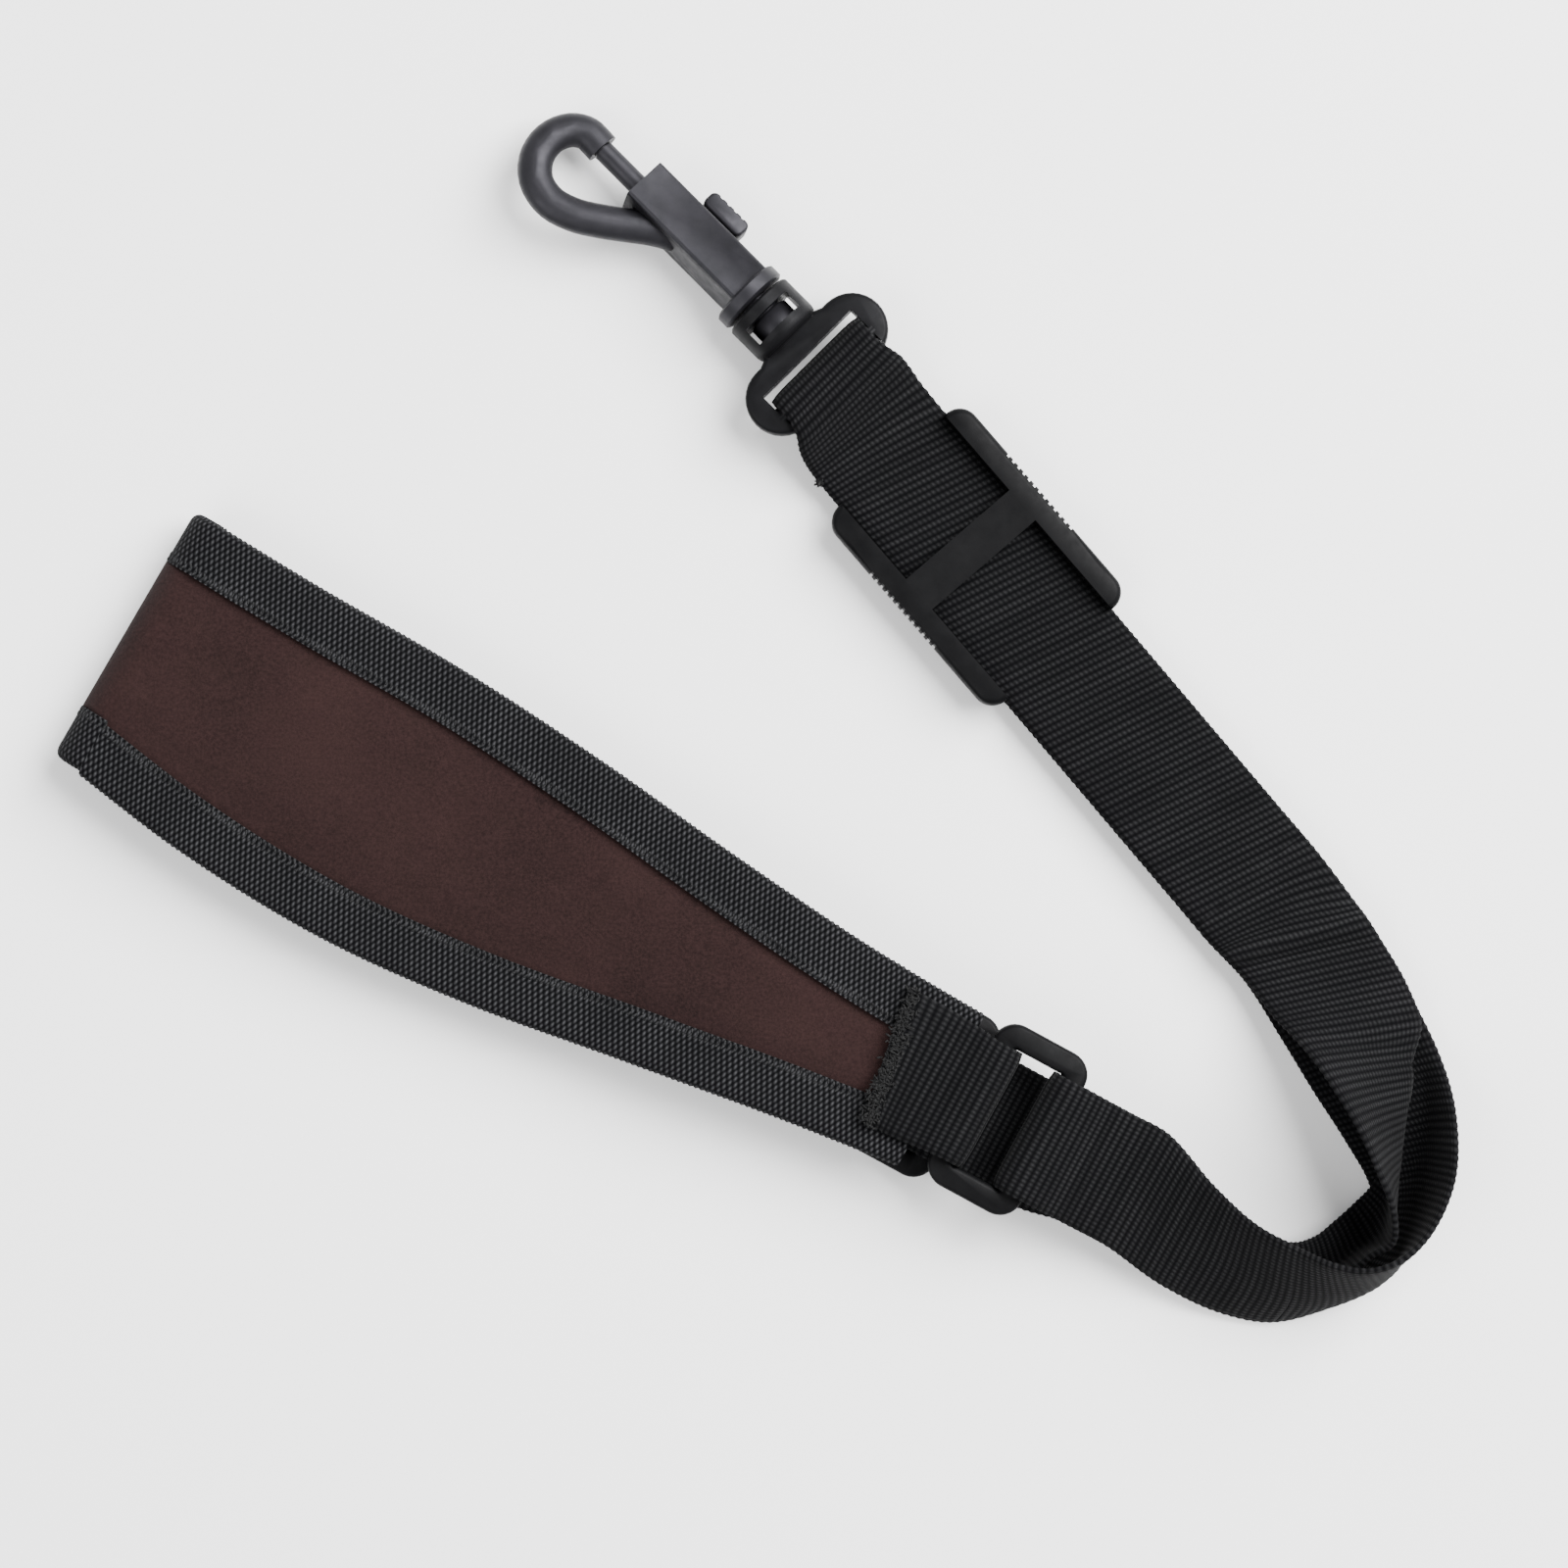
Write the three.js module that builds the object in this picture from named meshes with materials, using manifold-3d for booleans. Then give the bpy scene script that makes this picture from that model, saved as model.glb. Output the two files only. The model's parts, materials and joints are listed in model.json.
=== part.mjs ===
import * as THREE from 'three';
import { mergeVertices } from 'three/addons/utils/BufferGeometryUtils.js';
import Module from 'manifold-3d';

// Saxophone neck strap lying flat: a padded collar folded in half, two loops, doubled webbing,
// a three-bar slider and a swivel snap hook. Millimetres, +Z up, the table at z = 0.

const wasm = await Module();
wasm.setup();

// ---------------------------------------------------------------- driving dimensions

const FOOTPRINT_MIDDLE = [-4.9, 11.16];   // moved to x = y = 0 at the end

const WEB_WIDTH = 25;
const WEB_THICK = 1.5;
const PLY_GAP = 0.2;

const PAD_FOLD = [-116, 27];             // middle of the folded edge
const PAD_HEADING = -30.2;               // degrees, the way the folded pad points
const PAD_UPPER_LENGTH = 164.5;
const PAD_LOWER_LENGTH = 148.5;
const PAD_FOLD_HEIGHT = 11.6;
const PAD_END_UPPER_Z = 12.5;
const PAD_END_LOWER_Z = 4.15;
const SUEDE = 0.7;
const FOAM = 2.0;
const LINING = 0.5;
const TAPE = 0.7;
const LAYER_GAP = 0.2;
const TAPE_WIDTH = 10;

const RING_WIDTH = 31.6;
const RING_LENGTH = 18;
const RING_RAIL = 4.3;
const RING_BAR = 4.3;
const RING_THICK = 3.4;
const RING_BEVEL = 0.75;
const RING_HEADING = -28.6;
const RING_UPPER = [39.1, -58.7, PAD_END_UPPER_Z];
const RING_LOWER = [24.2, -52.7, PAD_END_LOWER_Z];
const RING_LOOP_CLEAR = 0.25;
const RING_WEB_WIDTH = 22.6;
const TAB_LENGTH = 17.5;
const TAB_TOP = 2.8;                     // middle of the tab's upper ply above the loop's middle
const STITCH_THICK = 0.45;
const SEWN_LENGTH = 18.95;               // ring bar to the cut end of the folded webbing

const STRAIGHT_HEADING = 130.3;
const STRAIGHT_START = [86.0, -21.6];
const PLY_LOW_Z = 2.95;
const PLY_HIGH_Z = PLY_LOW_Z + WEB_THICK + PLY_GAP;

const SLIDER_CENTRE = [33.9, 40.0];
const SLIDER_HEADING = 130.8;
const SLIDER_LENGTH = 45.2;
const SLIDER_WIDTH = 32.2;
const SLIDER_RAIL = 4.1;
const SLIDER_CHANNEL = 12.85;              // half width of the channel under the rails
const SLIDER_END_BAR = 5;
const SLIDER_CENTRE_BAR = 7.0;
const SLIDER_BAR_SHIFT = 1.6;              // centre bar sits this much nearer the hook
const SLIDER_TOP = 8.2;
const TOOTH_COUNT = 13;
const TOOTH_PITCH = 1.4;
const TOOTH_SHIFT = 1.4;

const HOOK_ORIGIN = [-6.1, 85.8, 6.9];  // on the swivel axis, in the middle of the collar
const HOOK_HEADING = 134.8;
const HOOK_DIP = 2.2;                    // degrees, the loop end leans down to the table
const HOOK_ROLL = 13.5;
const COLLAR_RADIUS = 6.65;
const BODY_START = 1.4;
const BODY_END = 27.5;
const BODY_WIDTH = 8.4;
const BODY_DEPTH = 9.6;
const BODY_SHIFT = 0.4;
const HOOK_BAR_WIDE = 6.2;
const HOOK_BAR_DEEP = 5.1;
const PIN_RADIUS = 1.9;
const PIN_CLEAR = 0.3;
const PIN_TIP = 37.9;
const PIN_TIP_RADIUS = 1.45;
const NOSE_FACE = 36.9;
const PIN_REAR = 11.4;
const KNOB_MIDDLE = 13.2;
const KNOB_LENGTH = 9.0;
const KNOB_HEIGHT = 4.8;
const KNOB_IN = 5.4;
const KNOB_OUT = 8.8;
const KNOB_GROOVES = 4;
const KNOB_GROOVE_PITCH = 1.7;
const GATE_TRAVEL = 6.7;
const SPRING_START = 0.1;
const SPRING_COILS = 6;
const CAGE_RADIUS = 6.7;
const CAGE_START = -2.0;
const CAGE_END = -9.6;
const EYE_HALF = 15.1;
const EYE_END_RADIUS = 6.4;
const EYE_MIDDLE = -16.9;
const EYE_THICK = 4.2;
const EYE_BAR = -19.5;
const EYE_BAR_RADIUS = 2.2;
const EYE_SLOT_START = -14.4;
const EYE_SLOT_HALF = 10.9;
const EYE_ARCH = [8.0, 12.6];             // half sizes of the shoulder behind the barrel
const EYE_LOOP_WIDTH = 21.0;
const EYE_RUN = 14;                      // bar to where the doubled webbing lies level

// ---------------------------------------------------------------- small helpers

const v3 = (x, y, z) => new THREE.Vector3(x, y, z);
const rad = (degrees) => THREE.MathUtils.degToRad(degrees);
const lerp = THREE.MathUtils.lerp;
const heading = (degrees) => v3(Math.cos(rad(degrees)), Math.sin(rad(degrees)), 0);
const leftOf = (direction) => v3(-direction.y, direction.x, 0);

function smooth(a, b, x) {
  const t = Math.min(1, Math.max(0, (x - a) / (b - a)));
  return t * t * (3 - 2 * t);
}

// Value at x of a smooth curve through [x, value] pairs.
function through(pairs, x) {
  const curve = new THREE.CatmullRomCurve3(pairs.map(([a, b]) => v3(a, b, 0)));
  let low = 0;
  let high = 1;
  for (let i = 0; i < 30; i += 1) {
    const middle = (low + high) / 2;
    if (curve.getPoint(middle).x < x) low = middle;
    else high = middle;
  }
  return curve.getPoint((low + high) / 2).y;
}

const materials = {
  suede: { color: 0x40302f, roughness: 0.95 },
  tape: { color: 0x2a2a2b, roughness: 0.85 },
  webbing: { color: 0x262627, roughness: 0.85 },
  foam: { color: 0x303030, roughness: 1.0 },
  lining: { color: 0x232324, roughness: 0.95 },
  plastic: { color: 0x2e2e30, roughness: 0.45 },
  hook: { color: 0x3b3b3e, roughness: 0.4 },
  steel: { color: 0x8c8f92, roughness: 0.3 },
  thread: { color: 0x2d2d2e, roughness: 0.9 },
};

const group = new THREE.Group();

function addMesh(name, geometry, materialName) {
  geometry.computeVertexNormals();
  const material = new THREE.MeshStandardMaterial(materials[materialName]);
  material.name = materialName;
  const mesh = new THREE.Mesh(geometry, material);
  mesh.name = name;
  group.add(mesh);
  return mesh;
}

function geometryFrom(points, triangles) {
  const geometry = new THREE.BufferGeometry();
  const flat = points.flatMap((p) => [p.x, p.y, p.z]);
  geometry.setAttribute('position', new THREE.Float32BufferAttribute(flat, 3));
  geometry.setIndex(triangles.flat());
  return geometry;
}

// A closed solid through rings of equal length; each ring is a simple polygon listed
// anticlockwise when seen looking back along the path.
function loftRings(rings, flatCap = null) {
  const count = rings[0].length;
  const points = rings.flat();
  const triangles = [];
  for (let i = 0; i < rings.length - 1; i += 1) {
    for (let j = 0; j < count; j += 1) {
      const a = i * count + j;
      const b = i * count + ((j + 1) % count);
      triangles.push([a, b, b + count], [a, b + count, a + count]);
    }
  }
  const cap = flatCap || fanCap(count);
  const last = (rings.length - 1) * count;
  for (const [a, b, c] of cap) {
    triangles.push([a, c, b]);
    triangles.push([last + a, last + b, last + c]);
  }
  return orient(geometryFrom(points, triangles));
}

// Caps a ring whose first half runs across one face and whose second half runs back.
function fanCap(count) {
  const half = count / 2;
  const cap = [];
  for (let j = 0; j < half - 1; j += 1) {
    const far = count - 1 - j;
    cap.push([j, j + 1, far], [j + 1, far - 1, far]);
  }
  return cap;
}

function volume(geometry) {
  const position = geometry.getAttribute('position');
  const index = geometry.getIndex();
  const [a, b, c] = [v3(0, 0, 0), v3(0, 0, 0), v3(0, 0, 0)];
  let sum = 0;
  for (let i = 0; i < index.count; i += 3) {
    a.fromBufferAttribute(position, index.getX(i));
    b.fromBufferAttribute(position, index.getX(i + 1));
    c.fromBufferAttribute(position, index.getX(i + 2));
    sum += a.dot(b.cross(c)) / 6;
  }
  return sum;
}

function orient(geometry) {
  if (volume(geometry) > 0) return geometry;
  const index = geometry.getIndex();
  for (let i = 0; i < index.count; i += 3) {
    const second = index.getX(i + 1);
    index.setX(i + 1, index.getX(i + 2));
    index.setX(i + 2, second);
  }
  return geometry;
}

// Thickens a grid of points [station][across] into a closed strip.
function stripSolid(grid, thickness) {
  const rows = grid.length;
  const columns = grid[0].length;
  const rings = grid.map((row, i) => {
    const top = [];
    const bottom = [];
    for (let j = 0; j < columns; j += 1) {
      const along = grid[Math.min(rows - 1, i + 1)][j].clone().sub(grid[Math.max(0, i - 1)][j]);
      const across = row[Math.min(columns - 1, j + 1)].clone().sub(row[Math.max(0, j - 1)]);
      const normal = along.cross(across).normalize().multiplyScalar(thickness / 2);
      top.push(row[j].clone().add(normal));
      bottom.push(row[j].clone().sub(normal));
    }
    return [...top, ...bottom.reverse()];
  });
  return loftRings(rings);
}

function manifoldFrom(geometry) {
  const plain = geometry.clone();
  plain.deleteAttribute('normal');
  plain.deleteAttribute('uv');
  const merged = mergeVertices(plain, 1e-4);
  const mesh = new wasm.Mesh({
    numProp: 3,
    vertProperties: new Float32Array(merged.getAttribute('position').array),
    triVerts: new Uint32Array(merged.getIndex().array),
  });
  return new wasm.Manifold(mesh);
}

function geometryFromManifold(solid) {
  const mesh = solid.getMesh();
  const geometry = new THREE.BufferGeometry();
  geometry.setAttribute('position', new THREE.Float32BufferAttribute(mesh.vertProperties, 3));
  geometry.setIndex(Array.from(mesh.triVerts));
  return geometry;
}

function boxSolid(x0, x1, y0, y1, z0, z1) {
  const box = new THREE.BoxGeometry(x1 - x0, y1 - y0, z1 - z0);
  box.translate((x0 + x1) / 2, (y0 + y1) / 2, (z0 + z1) / 2);
  return manifoldFrom(box);
}

// A turned solid along the X axis from [x, radius] pairs.
function turnedAlongX(profile, segments = 32) {
  const points = [
    new THREE.Vector2(0, profile[0][0]),
    ...profile.map(([x, r]) => new THREE.Vector2(r, x)),
    new THREE.Vector2(0, profile[profile.length - 1][0]),
  ];
  const geometry = new THREE.LatheGeometry(points, segments);
  geometry.rotateZ(-Math.PI / 2);
  return manifoldFrom(geometry);
}

// A rounded outline extruded in Z with bevelled rims.
function bevelledPlate(shape, thickness, bevel, curveSegments = 5) {
  const geometry = new THREE.ExtrudeGeometry(shape, {
    depth: thickness - 2 * bevel,
    bevelEnabled: true,
    bevelThickness: bevel,
    bevelSize: bevel,
    bevelOffset: -bevel,
    bevelSegments: 2,
    curveSegments,
  });
  geometry.translate(0, 0, bevel - thickness / 2);
  return geometry;
}

function roundedRectangle(path, halfX, halfY, radius) {
  path.moveTo(-halfX + radius, -halfY);
  path.lineTo(halfX - radius, -halfY);
  path.absarc(halfX - radius, -halfY + radius, radius, -Math.PI / 2, 0, false);
  path.lineTo(halfX, halfY - radius);
  path.absarc(halfX - radius, halfY - radius, radius, 0, Math.PI / 2, false);
  path.lineTo(-halfX + radius, halfY);
  path.absarc(-halfX + radius, halfY - radius, radius, Math.PI / 2, Math.PI, false);
  path.lineTo(-halfX, -halfY + radius);
  path.absarc(-halfX + radius, -halfY + radius, radius, Math.PI, Math.PI * 1.5, false);
  return path;
}

// ---------------------------------------------------------------- neck pad

// Half width and sideways offset of the folded pad against distance from the fold. The pad
// is slightly banana shaped and narrows towards its sewn end.
const PAD_HALF_WIDTH = [[-20, 24.0], [0, 24.7], [28, 26.2], [57, 26.6], [85, 24.4], [113, 20.6],
  [141, 17.2], [166, 15.2], [180, 14.4]];
const PAD_OFFSET = [[-20, -0.6], [0, 0.4], [28, 2.4], [57, 2.7], [85, 2.0], [113, 0.7],
  [141, -0.9], [166, -2.6], [180, -3.6]];

const padAlong = heading(PAD_HEADING);
const padAcross = leftOf(padAlong).negate();
const HALF_STACK = TAPE + LAYER_GAP + SUEDE + LAYER_GAP + FOAM + LAYER_GAP + LINING + LAYER_GAP + TAPE;
const FOLD_MIDDLE_Z = PAD_FOLD_HEIGHT / 2;
const FOLD_RADIUS = PAD_FOLD_HEIGHT / 2 - HALF_STACK / 2;

function padPoint(u, across, z) {
  return v3(PAD_FOLD[0], PAD_FOLD[1], z)
    .addScaledVector(padAlong, u)
    .addScaledVector(padAcross, across);
}

// Stations along the pad from the lower end, round the fold, to the upper end. Each gives the
// position u, the middle height, the outward direction in the u-z plane and the foam share.
function padStations() {
  const stations = [];
  const start = PAD_FOLD_HEIGHT / 2;
  const lowerSteps = 13;
  for (let i = 0; i < lowerSteps; i += 1) {
    const u = lerp(PAD_LOWER_LENGTH, start, i / lowerSteps);
    const rise = smooth(0.5 * PAD_LOWER_LENGTH, PAD_LOWER_LENGTH - 21, u);
    const z = lerp(FOLD_MIDDLE_Z - FOLD_RADIUS, PAD_END_LOWER_Z, rise);
    stations.push({ u, z, out: [0, -1], thin: smooth(PAD_LOWER_LENGTH - 40, PAD_LOWER_LENGTH - 21, u),
      shape: u * PAD_UPPER_LENGTH / PAD_LOWER_LENGTH });
  }
  const arcSteps = 8;
  for (let i = 0; i <= arcSteps; i += 1) {
    const angle = -Math.PI / 2 - Math.PI * i / arcSteps;
    stations.push({ u: start + FOLD_RADIUS * Math.cos(angle), z: FOLD_MIDDLE_Z + FOLD_RADIUS * Math.sin(angle),
      out: [Math.cos(angle), Math.sin(angle)], thin: 0, shape: 0 });
  }
  const upperSteps = 14;
  for (let i = 1; i <= upperSteps; i += 1) {
    const u = lerp(start, PAD_UPPER_LENGTH, i / upperSteps);
    const rise = smooth(0.5 * PAD_UPPER_LENGTH, PAD_UPPER_LENGTH - 21, u);
    const z = lerp(FOLD_MIDDLE_Z + FOLD_RADIUS, PAD_END_UPPER_Z, rise);
    stations.push({ u, z, out: [0, 1], thin: smooth(PAD_UPPER_LENGTH - 40, PAD_UPPER_LENGTH - 21, u), shape: u });
  }
  return stations;
}

const PAD_STATIONS = padStations();

// Distance of each layer boundary from the middle of the stack, outward positive.
function padLayers(thin) {
  const foam = lerp(FOAM, 0.5, thin);
  const half = (foam + 2 * LAYER_GAP + SUEDE + LINING + 2 * LAYER_GAP + 2 * TAPE) / 2;
  const tapeOut = half;
  const suedeTop = tapeOut - TAPE - LAYER_GAP;
  const suedeBottom = suedeTop - SUEDE;
  const foamTop = suedeBottom - LAYER_GAP;
  const foamBottom = foamTop - foam;
  const liningTop = foamBottom - LAYER_GAP;
  const liningBottom = liningTop - LINING;
  return { tapeOut, suedeTop, suedeBottom, foamTop, foamBottom, liningTop, liningBottom, tapeIn: -half };
}

// A flat layer between two heights, inset from the pad's edge, with two softened corners.
function slab(top, bottom, inset) {
  return (half, layers) => {
    const w = half - inset;
    const t = layers[top];
    const b = layers[bottom];
    return [[-w, t], [-w * 0.5, t], [0, t], [w * 0.5, t], [w, t], [w, b], [w * 0.5, b], [0, b], [-w * 0.5, b], [-w, b]];
  };
}

// A tape folded round one long edge of the pad: side is +1 or -1.
function tapeOutline(side) {
  return (half, layers) => {
    const edge = half;
    const inner = half - TAPE;
    const lip = half - TAPE_WIDTH;
    const soft = 0.5;
    const ring = [
      [lip, layers.tapeOut], [edge - 2 * soft, layers.tapeOut], [edge, layers.tapeOut - 2 * soft],
      [edge, layers.tapeIn + 2 * soft], [edge - 2 * soft, layers.tapeIn], [lip, layers.tapeIn],
      [lip, layers.tapeIn + TAPE], [inner, layers.tapeIn + TAPE], [inner, layers.tapeOut - TAPE], [lip, layers.tapeOut - TAPE],
    ];
    return ring.map(([across, out]) => [across * side, out]);
  };
}

const TAPE_CAP = [[0, 1, 8], [0, 8, 9], [1, 2, 8], [2, 3, 7], [2, 7, 8], [3, 4, 7], [4, 5, 6], [4, 6, 7]];

// Each entry: name, cross-section outline, material and end cap.
const PAD_PARTS = [
  ['pad_foam', slab('foamTop', 'foamBottom', TAPE + 0.4), 'foam', null],
  ['pad_suede', slab('suedeTop', 'suedeBottom', TAPE + 0.4), 'suede', null],
  ['pad_lining', slab('liningTop', 'liningBottom', TAPE + 0.4), 'lining', null],
  ['binding_right', tapeOutline(-1), 'tape', TAPE_CAP],
  ['binding_left', tapeOutline(1), 'tape', TAPE_CAP],
];

function buildPad() {
  for (const [name, outline, material, cap] of PAD_PARTS) {
    const rings = PAD_STATIONS.map((station) => {
      const half = through(PAD_HALF_WIDTH, station.shape);
      const offset = through(PAD_OFFSET, station.shape);
      return outline(half, padLayers(station.thin)).map(([across, out]) => padPoint(
        station.u + station.out[0] * out, offset + across, station.z + station.out[1] * out));
    });
    addMesh(name, loftRings(rings, cap), material);
  }
}

// ---------------------------------------------------------------- webbing

// A flat webbing strip following a curve in the vertical plane of a heading. Points are
// [distance, height, width]; origin is where distance is zero.
function foldedStrip(origin, direction, points, acrossDirection, steps) {
  const curve = new THREE.CatmullRomCurve3(points.map(([d, z]) => v3(d, 0, z)), false, 'centripetal');
  const grid = [];
  for (let i = 0; i <= steps; i += 1) {
    const t = i / steps;
    const p = curve.getPoint(t);
    const index = t * (points.length - 1);
    const k = Math.min(points.length - 2, Math.floor(index));
    const width = lerp(points[k][2], points[k + 1][2], index - k);
    const middle = v3(origin[0], origin[1], 0).addScaledVector(direction, p.x);
    middle.z = p.z;
    const across = acrossDirection(p.x);
    grid.push([-1, -1 / 3, 1 / 3, 1].map((q) => middle.clone().addScaledVector(across, q * width / 2)));
  }
  return grid;
}

// Half circle round a bar, listed from one side over the far side to the other.
function roundBar(at, z, radius, from, to, width, count = 5) {
  const points = [];
  for (let i = 0; i <= count; i += 1) {
    const angle = rad(lerp(from, to, i / count));
    points.push([at + radius * Math.cos(angle), z + radius * Math.sin(angle), width]);
  }
  return points;
}

const LOOP_RADIUS = 2.36 + RING_LOOP_CLEAR + WEB_THICK / 2;

function ringBar(ring, side) {
  const along = heading(RING_HEADING);
  const reach = RING_LENGTH / 2 - RING_BAR / 2;
  return v3(...ring).addScaledVector(along, side * reach);
}

// The short webbing tab sewn over the end of one pad half and round the near bar of its loop.
function buildTab(name, ring, tabLength) {
  const bar = ringBar(ring, -1);
  const along = heading(RING_HEADING);
  const across = () => leftOf(along);
  const z = ring[2];
  const ply = TAB_TOP;
  const points = [
    [-tabLength, z + ply, 24.4], [-tabLength * 0.6, z + ply, 24.4], [-tabLength * 0.3, z + ply, 23.6],
    ...roundBar(0, z, LOOP_RADIUS, 90, -90, RING_WEB_WIDTH, 6),
    [-tabLength * 0.3, z - ply, 23.6], [-tabLength * 0.6, z - ply, 24.4], [-tabLength, z - ply, 24.4],
  ];
  addMesh(name, stripSolid(foldedStrip([bar.x, bar.y], along, points, across, 30), WEB_THICK), 'webbing');
}

// End of a strand: one ply comes in over the far bar of the loop, wraps it and is sewn back
// underneath. The free end tilts to meet the bend, given as heights of its two selvedges.
function buildRingEnd(name, ring, endLeft, endRight) {
  const bar = ringBar(ring, 1);
  const along = heading(RING_HEADING);
  const side = leftOf(along);
  const z = ring[2];
  const flat = [
    ...roundBar(0, z, LOOP_RADIUS, 90, 270, RING_WEB_WIDTH, 6),
    [4, z - 2.4, RING_WEB_WIDTH], [8, z - 1.0, RING_WEB_WIDTH], [12, z - 0.87, RING_WEB_WIDTH],
    [SEWN_LENGTH - 0.4, z - 0.87, RING_WEB_WIDTH],
  ];
  const over = [
    [SEWN_LENGTH, z + 0.87, RING_WEB_WIDTH], [12, z + 0.87, RING_WEB_WIDTH], [8, z + 1.0, RING_WEB_WIDTH],
    [4, z + 2.4, RING_WEB_WIDTH],
  ];
  const grid = foldedStrip([bar.x, bar.y], along, [...over, ...flat], () => side, 34);
  const shifted = grid.map((row) => row.map((p) => {
    const d = p.clone().sub(bar).dot(along);
    const s = p.clone().sub(bar).dot(side) / (RING_WEB_WIDTH / 2);
    const share = smooth(3, SEWN_LENGTH, d);
    const target = s > 0 ? endLeft : endRight;
    const drop = lerp(0, target, Math.abs(s)) + 0.5 * (1 - Math.abs(s)) * (endLeft + endRight);
    return v3(p.x, p.y, p.z + share * drop);
  }));
  addMesh(name, stripSolid(shifted, WEB_THICK), 'webbing');
}

// A strip through three rails: the two selvedges and the soft fold between them.
function railStrip(rails, steps, corner) {
  const curves = [0, 1, 2].map((k) => new THREE.CatmullRomCurve3(
    rails.map((row) => v3(...row[k])), false, 'centripetal'));
  const grid = [];
  for (let i = 0; i <= steps; i += 1) {
    const t = i / steps;
    const [a, c, b] = curves.map((curve) => curve.getPoint(t));
    const before = a.clone().lerp(c, 0.72);
    const after = c.clone().lerp(b, 0.22);
    const soft = before.clone().add(after).multiplyScalar(0.5).lerp(c, corner);
    grid.push([a, a.clone().lerp(c, 0.4), before, soft, after, c.clone().lerp(b, 0.6), b]);
  }
  return grid;
}

function middleOf(a, b) {
  return [(a[0] + b[0]) / 2, (a[1] + b[1]) / 2, (a[2] + b[2]) / 2];
}

const straightAlong = heading(STRAIGHT_HEADING);
const straightLeft = leftOf(straightAlong);
const straightMiddle = v3(STRAIGHT_START[0], STRAIGHT_START[1], 0);

function straightEdge(side, distance, z) {
  const p = straightMiddle.clone()
    .addScaledVector(straightLeft, side * WEB_WIDTH / 2)
    .addScaledVector(straightAlong, distance);
  return [p.x, p.y, z];
}

// The strand from the upper loop: it stands on its lower selvedge round the outside of the
// bend, leans outward and settles flat underneath the other strand.
function outerBendRails() {
  const rows = [
    [[56.6, -81.1, 8.7], null, [67.4, -61.3, 13.5]],
    [[66.5, -88.3, 4.5], null, [75.2, -70.4, 15.0]],
    [[77.0, -93.4, 2.2], [80.6, -87.0, 8.0], [82.4, -77.0, 17.0]],
    [[86.6, -95.2, 1.0], [89.3, -90.3, 8.4], [89.6, -80.8, 18.8]],
    [[94.7, -93.0, 0.9], [98.0, -90.8, 8.0], [95.3, -83.3, 20.5]],
    [[100.0, -88.8, 0.9], [104.0, -88.6, 9.0], [100.8, -84.2, 22.0]],
    [[103.2, -84.0, 0.9], [107.6, -85.0, 8.5], [106.0, -82.9, 22.8]],
    [[104.4, -78.0, 0.9], [109.8, -79.0, 3.0], [111.2, -79.0, 21.8]],
    [[103.8, -71.2, 0.9], [112.2, -69.4, 1.6], [116.4, -69.6, 18.0]],
    [[99.5, -63.3, 0.9], [113.4, -59.2, 1.3], [117.6, -58.2, 11.6]],
    [[93.9, -54.6, 0.9], [111.0, -48.8, 1.1], [115.5, -47.4, 4.6]],
    [[88.3, -45.4, 0.9], null, [110.0, -35.4, 1.5]],
    [[81.6, -35.0, 1.9], null, [102.9, -23.6, 2.3]],
    [straightEdge(1, 0.1, PLY_LOW_Z), null, straightEdge(-1, 0.1, PLY_LOW_Z)],
  ];
  return rows.map(([a, c, b]) => [a, c || middleOf(a, b), b]);
}

// The strand from the lower loop: it runs under the other one, folds over softly on the
// inside of the bend and comes back on top.
function innerBendRails() {
  const rows = [
    [[52.5, -55.4, 5.4], null, [41.5, -75.6, 2.4]],
    [[61.2, -61.8, 7.6], [56.7, -69.6, 4.4], [52.0, -78.2, 2.6]],
    [[70.0, -68.4, 9.8], [67.0, -77.0, 5.4], [63.5, -84.4, 1.6]],
    [[80.0, -75.6, 11.6], [78.8, -84.6, 4.0], [76.0, -89.6, 1.2]],
    [[88.4, -80.6, 9.4], [89.2, -87.6, 1.6], [91.5, -89.4, 4.4]],
    [[93.5, -79.9, 6.6], [96.4, -86.0, 1.4], [98.4, -86.2, 12.0]],
    [[97.3, -77.2, 4.6], [101.4, -82.8, 2.4], [102.8, -82.2, 16.0]],
    [[100.6, -74.3, 3.4], [105.4, -79.6, 4.0], [106.0, -79.6, 19.4]],
    [[103.8, -71.0, 3.2], [107.8, -73.6, 4.0], [105.4, -73.4, 21.5]],
    [[106.3, -66.2, 3.2], [108.9, -67.6, 4.0], [102.8, -67.0, 21.8]],
    [[108.0, -60.2, 3.2], [109.8, -61.2, 4.0], [100.0, -60.6, 21.4]],
    [[109.4, -54.4, 3.2], [110.8, -55.2, 4.0], [96.6, -54.6, 19.0]],
    [[111.0, -48.4, 3.9], [110.4, -48.8, 4.9], [92.4, -48.0, 15.0]],
    [[112.4, -42.6, 5.0], null, [89.2, -44.2, 11.4]],
    [[110.2, -35.8, 4.4], null, [86.0, -40.8, 8.2]],
    [[106.4, -29.0, 4.2], null, [82.8, -36.4, 6.2]],
    [[102.0, -22.4, 4.4], null, [79.4, -32.4, 5.0]],
    [straightEdge(-1, 0.1, PLY_HIGH_Z), null, straightEdge(1, 0.1, PLY_HIGH_Z)],
  ];
  return rows.map(([a, c, b]) => [a, c || middleOf(a, b), b]);
}

function buildBends() {
  addMesh('strap_outer_bend', stripSolid(railStrip(outerBendRails(), 36, 0.35), WEB_THICK), 'webbing');
  addMesh('strap_inner_bend', stripSolid(railStrip(innerBendRails(), 44, 0.35), WEB_THICK), 'webbing');
}

// ---------------------------------------------------------------- hook frame

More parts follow.
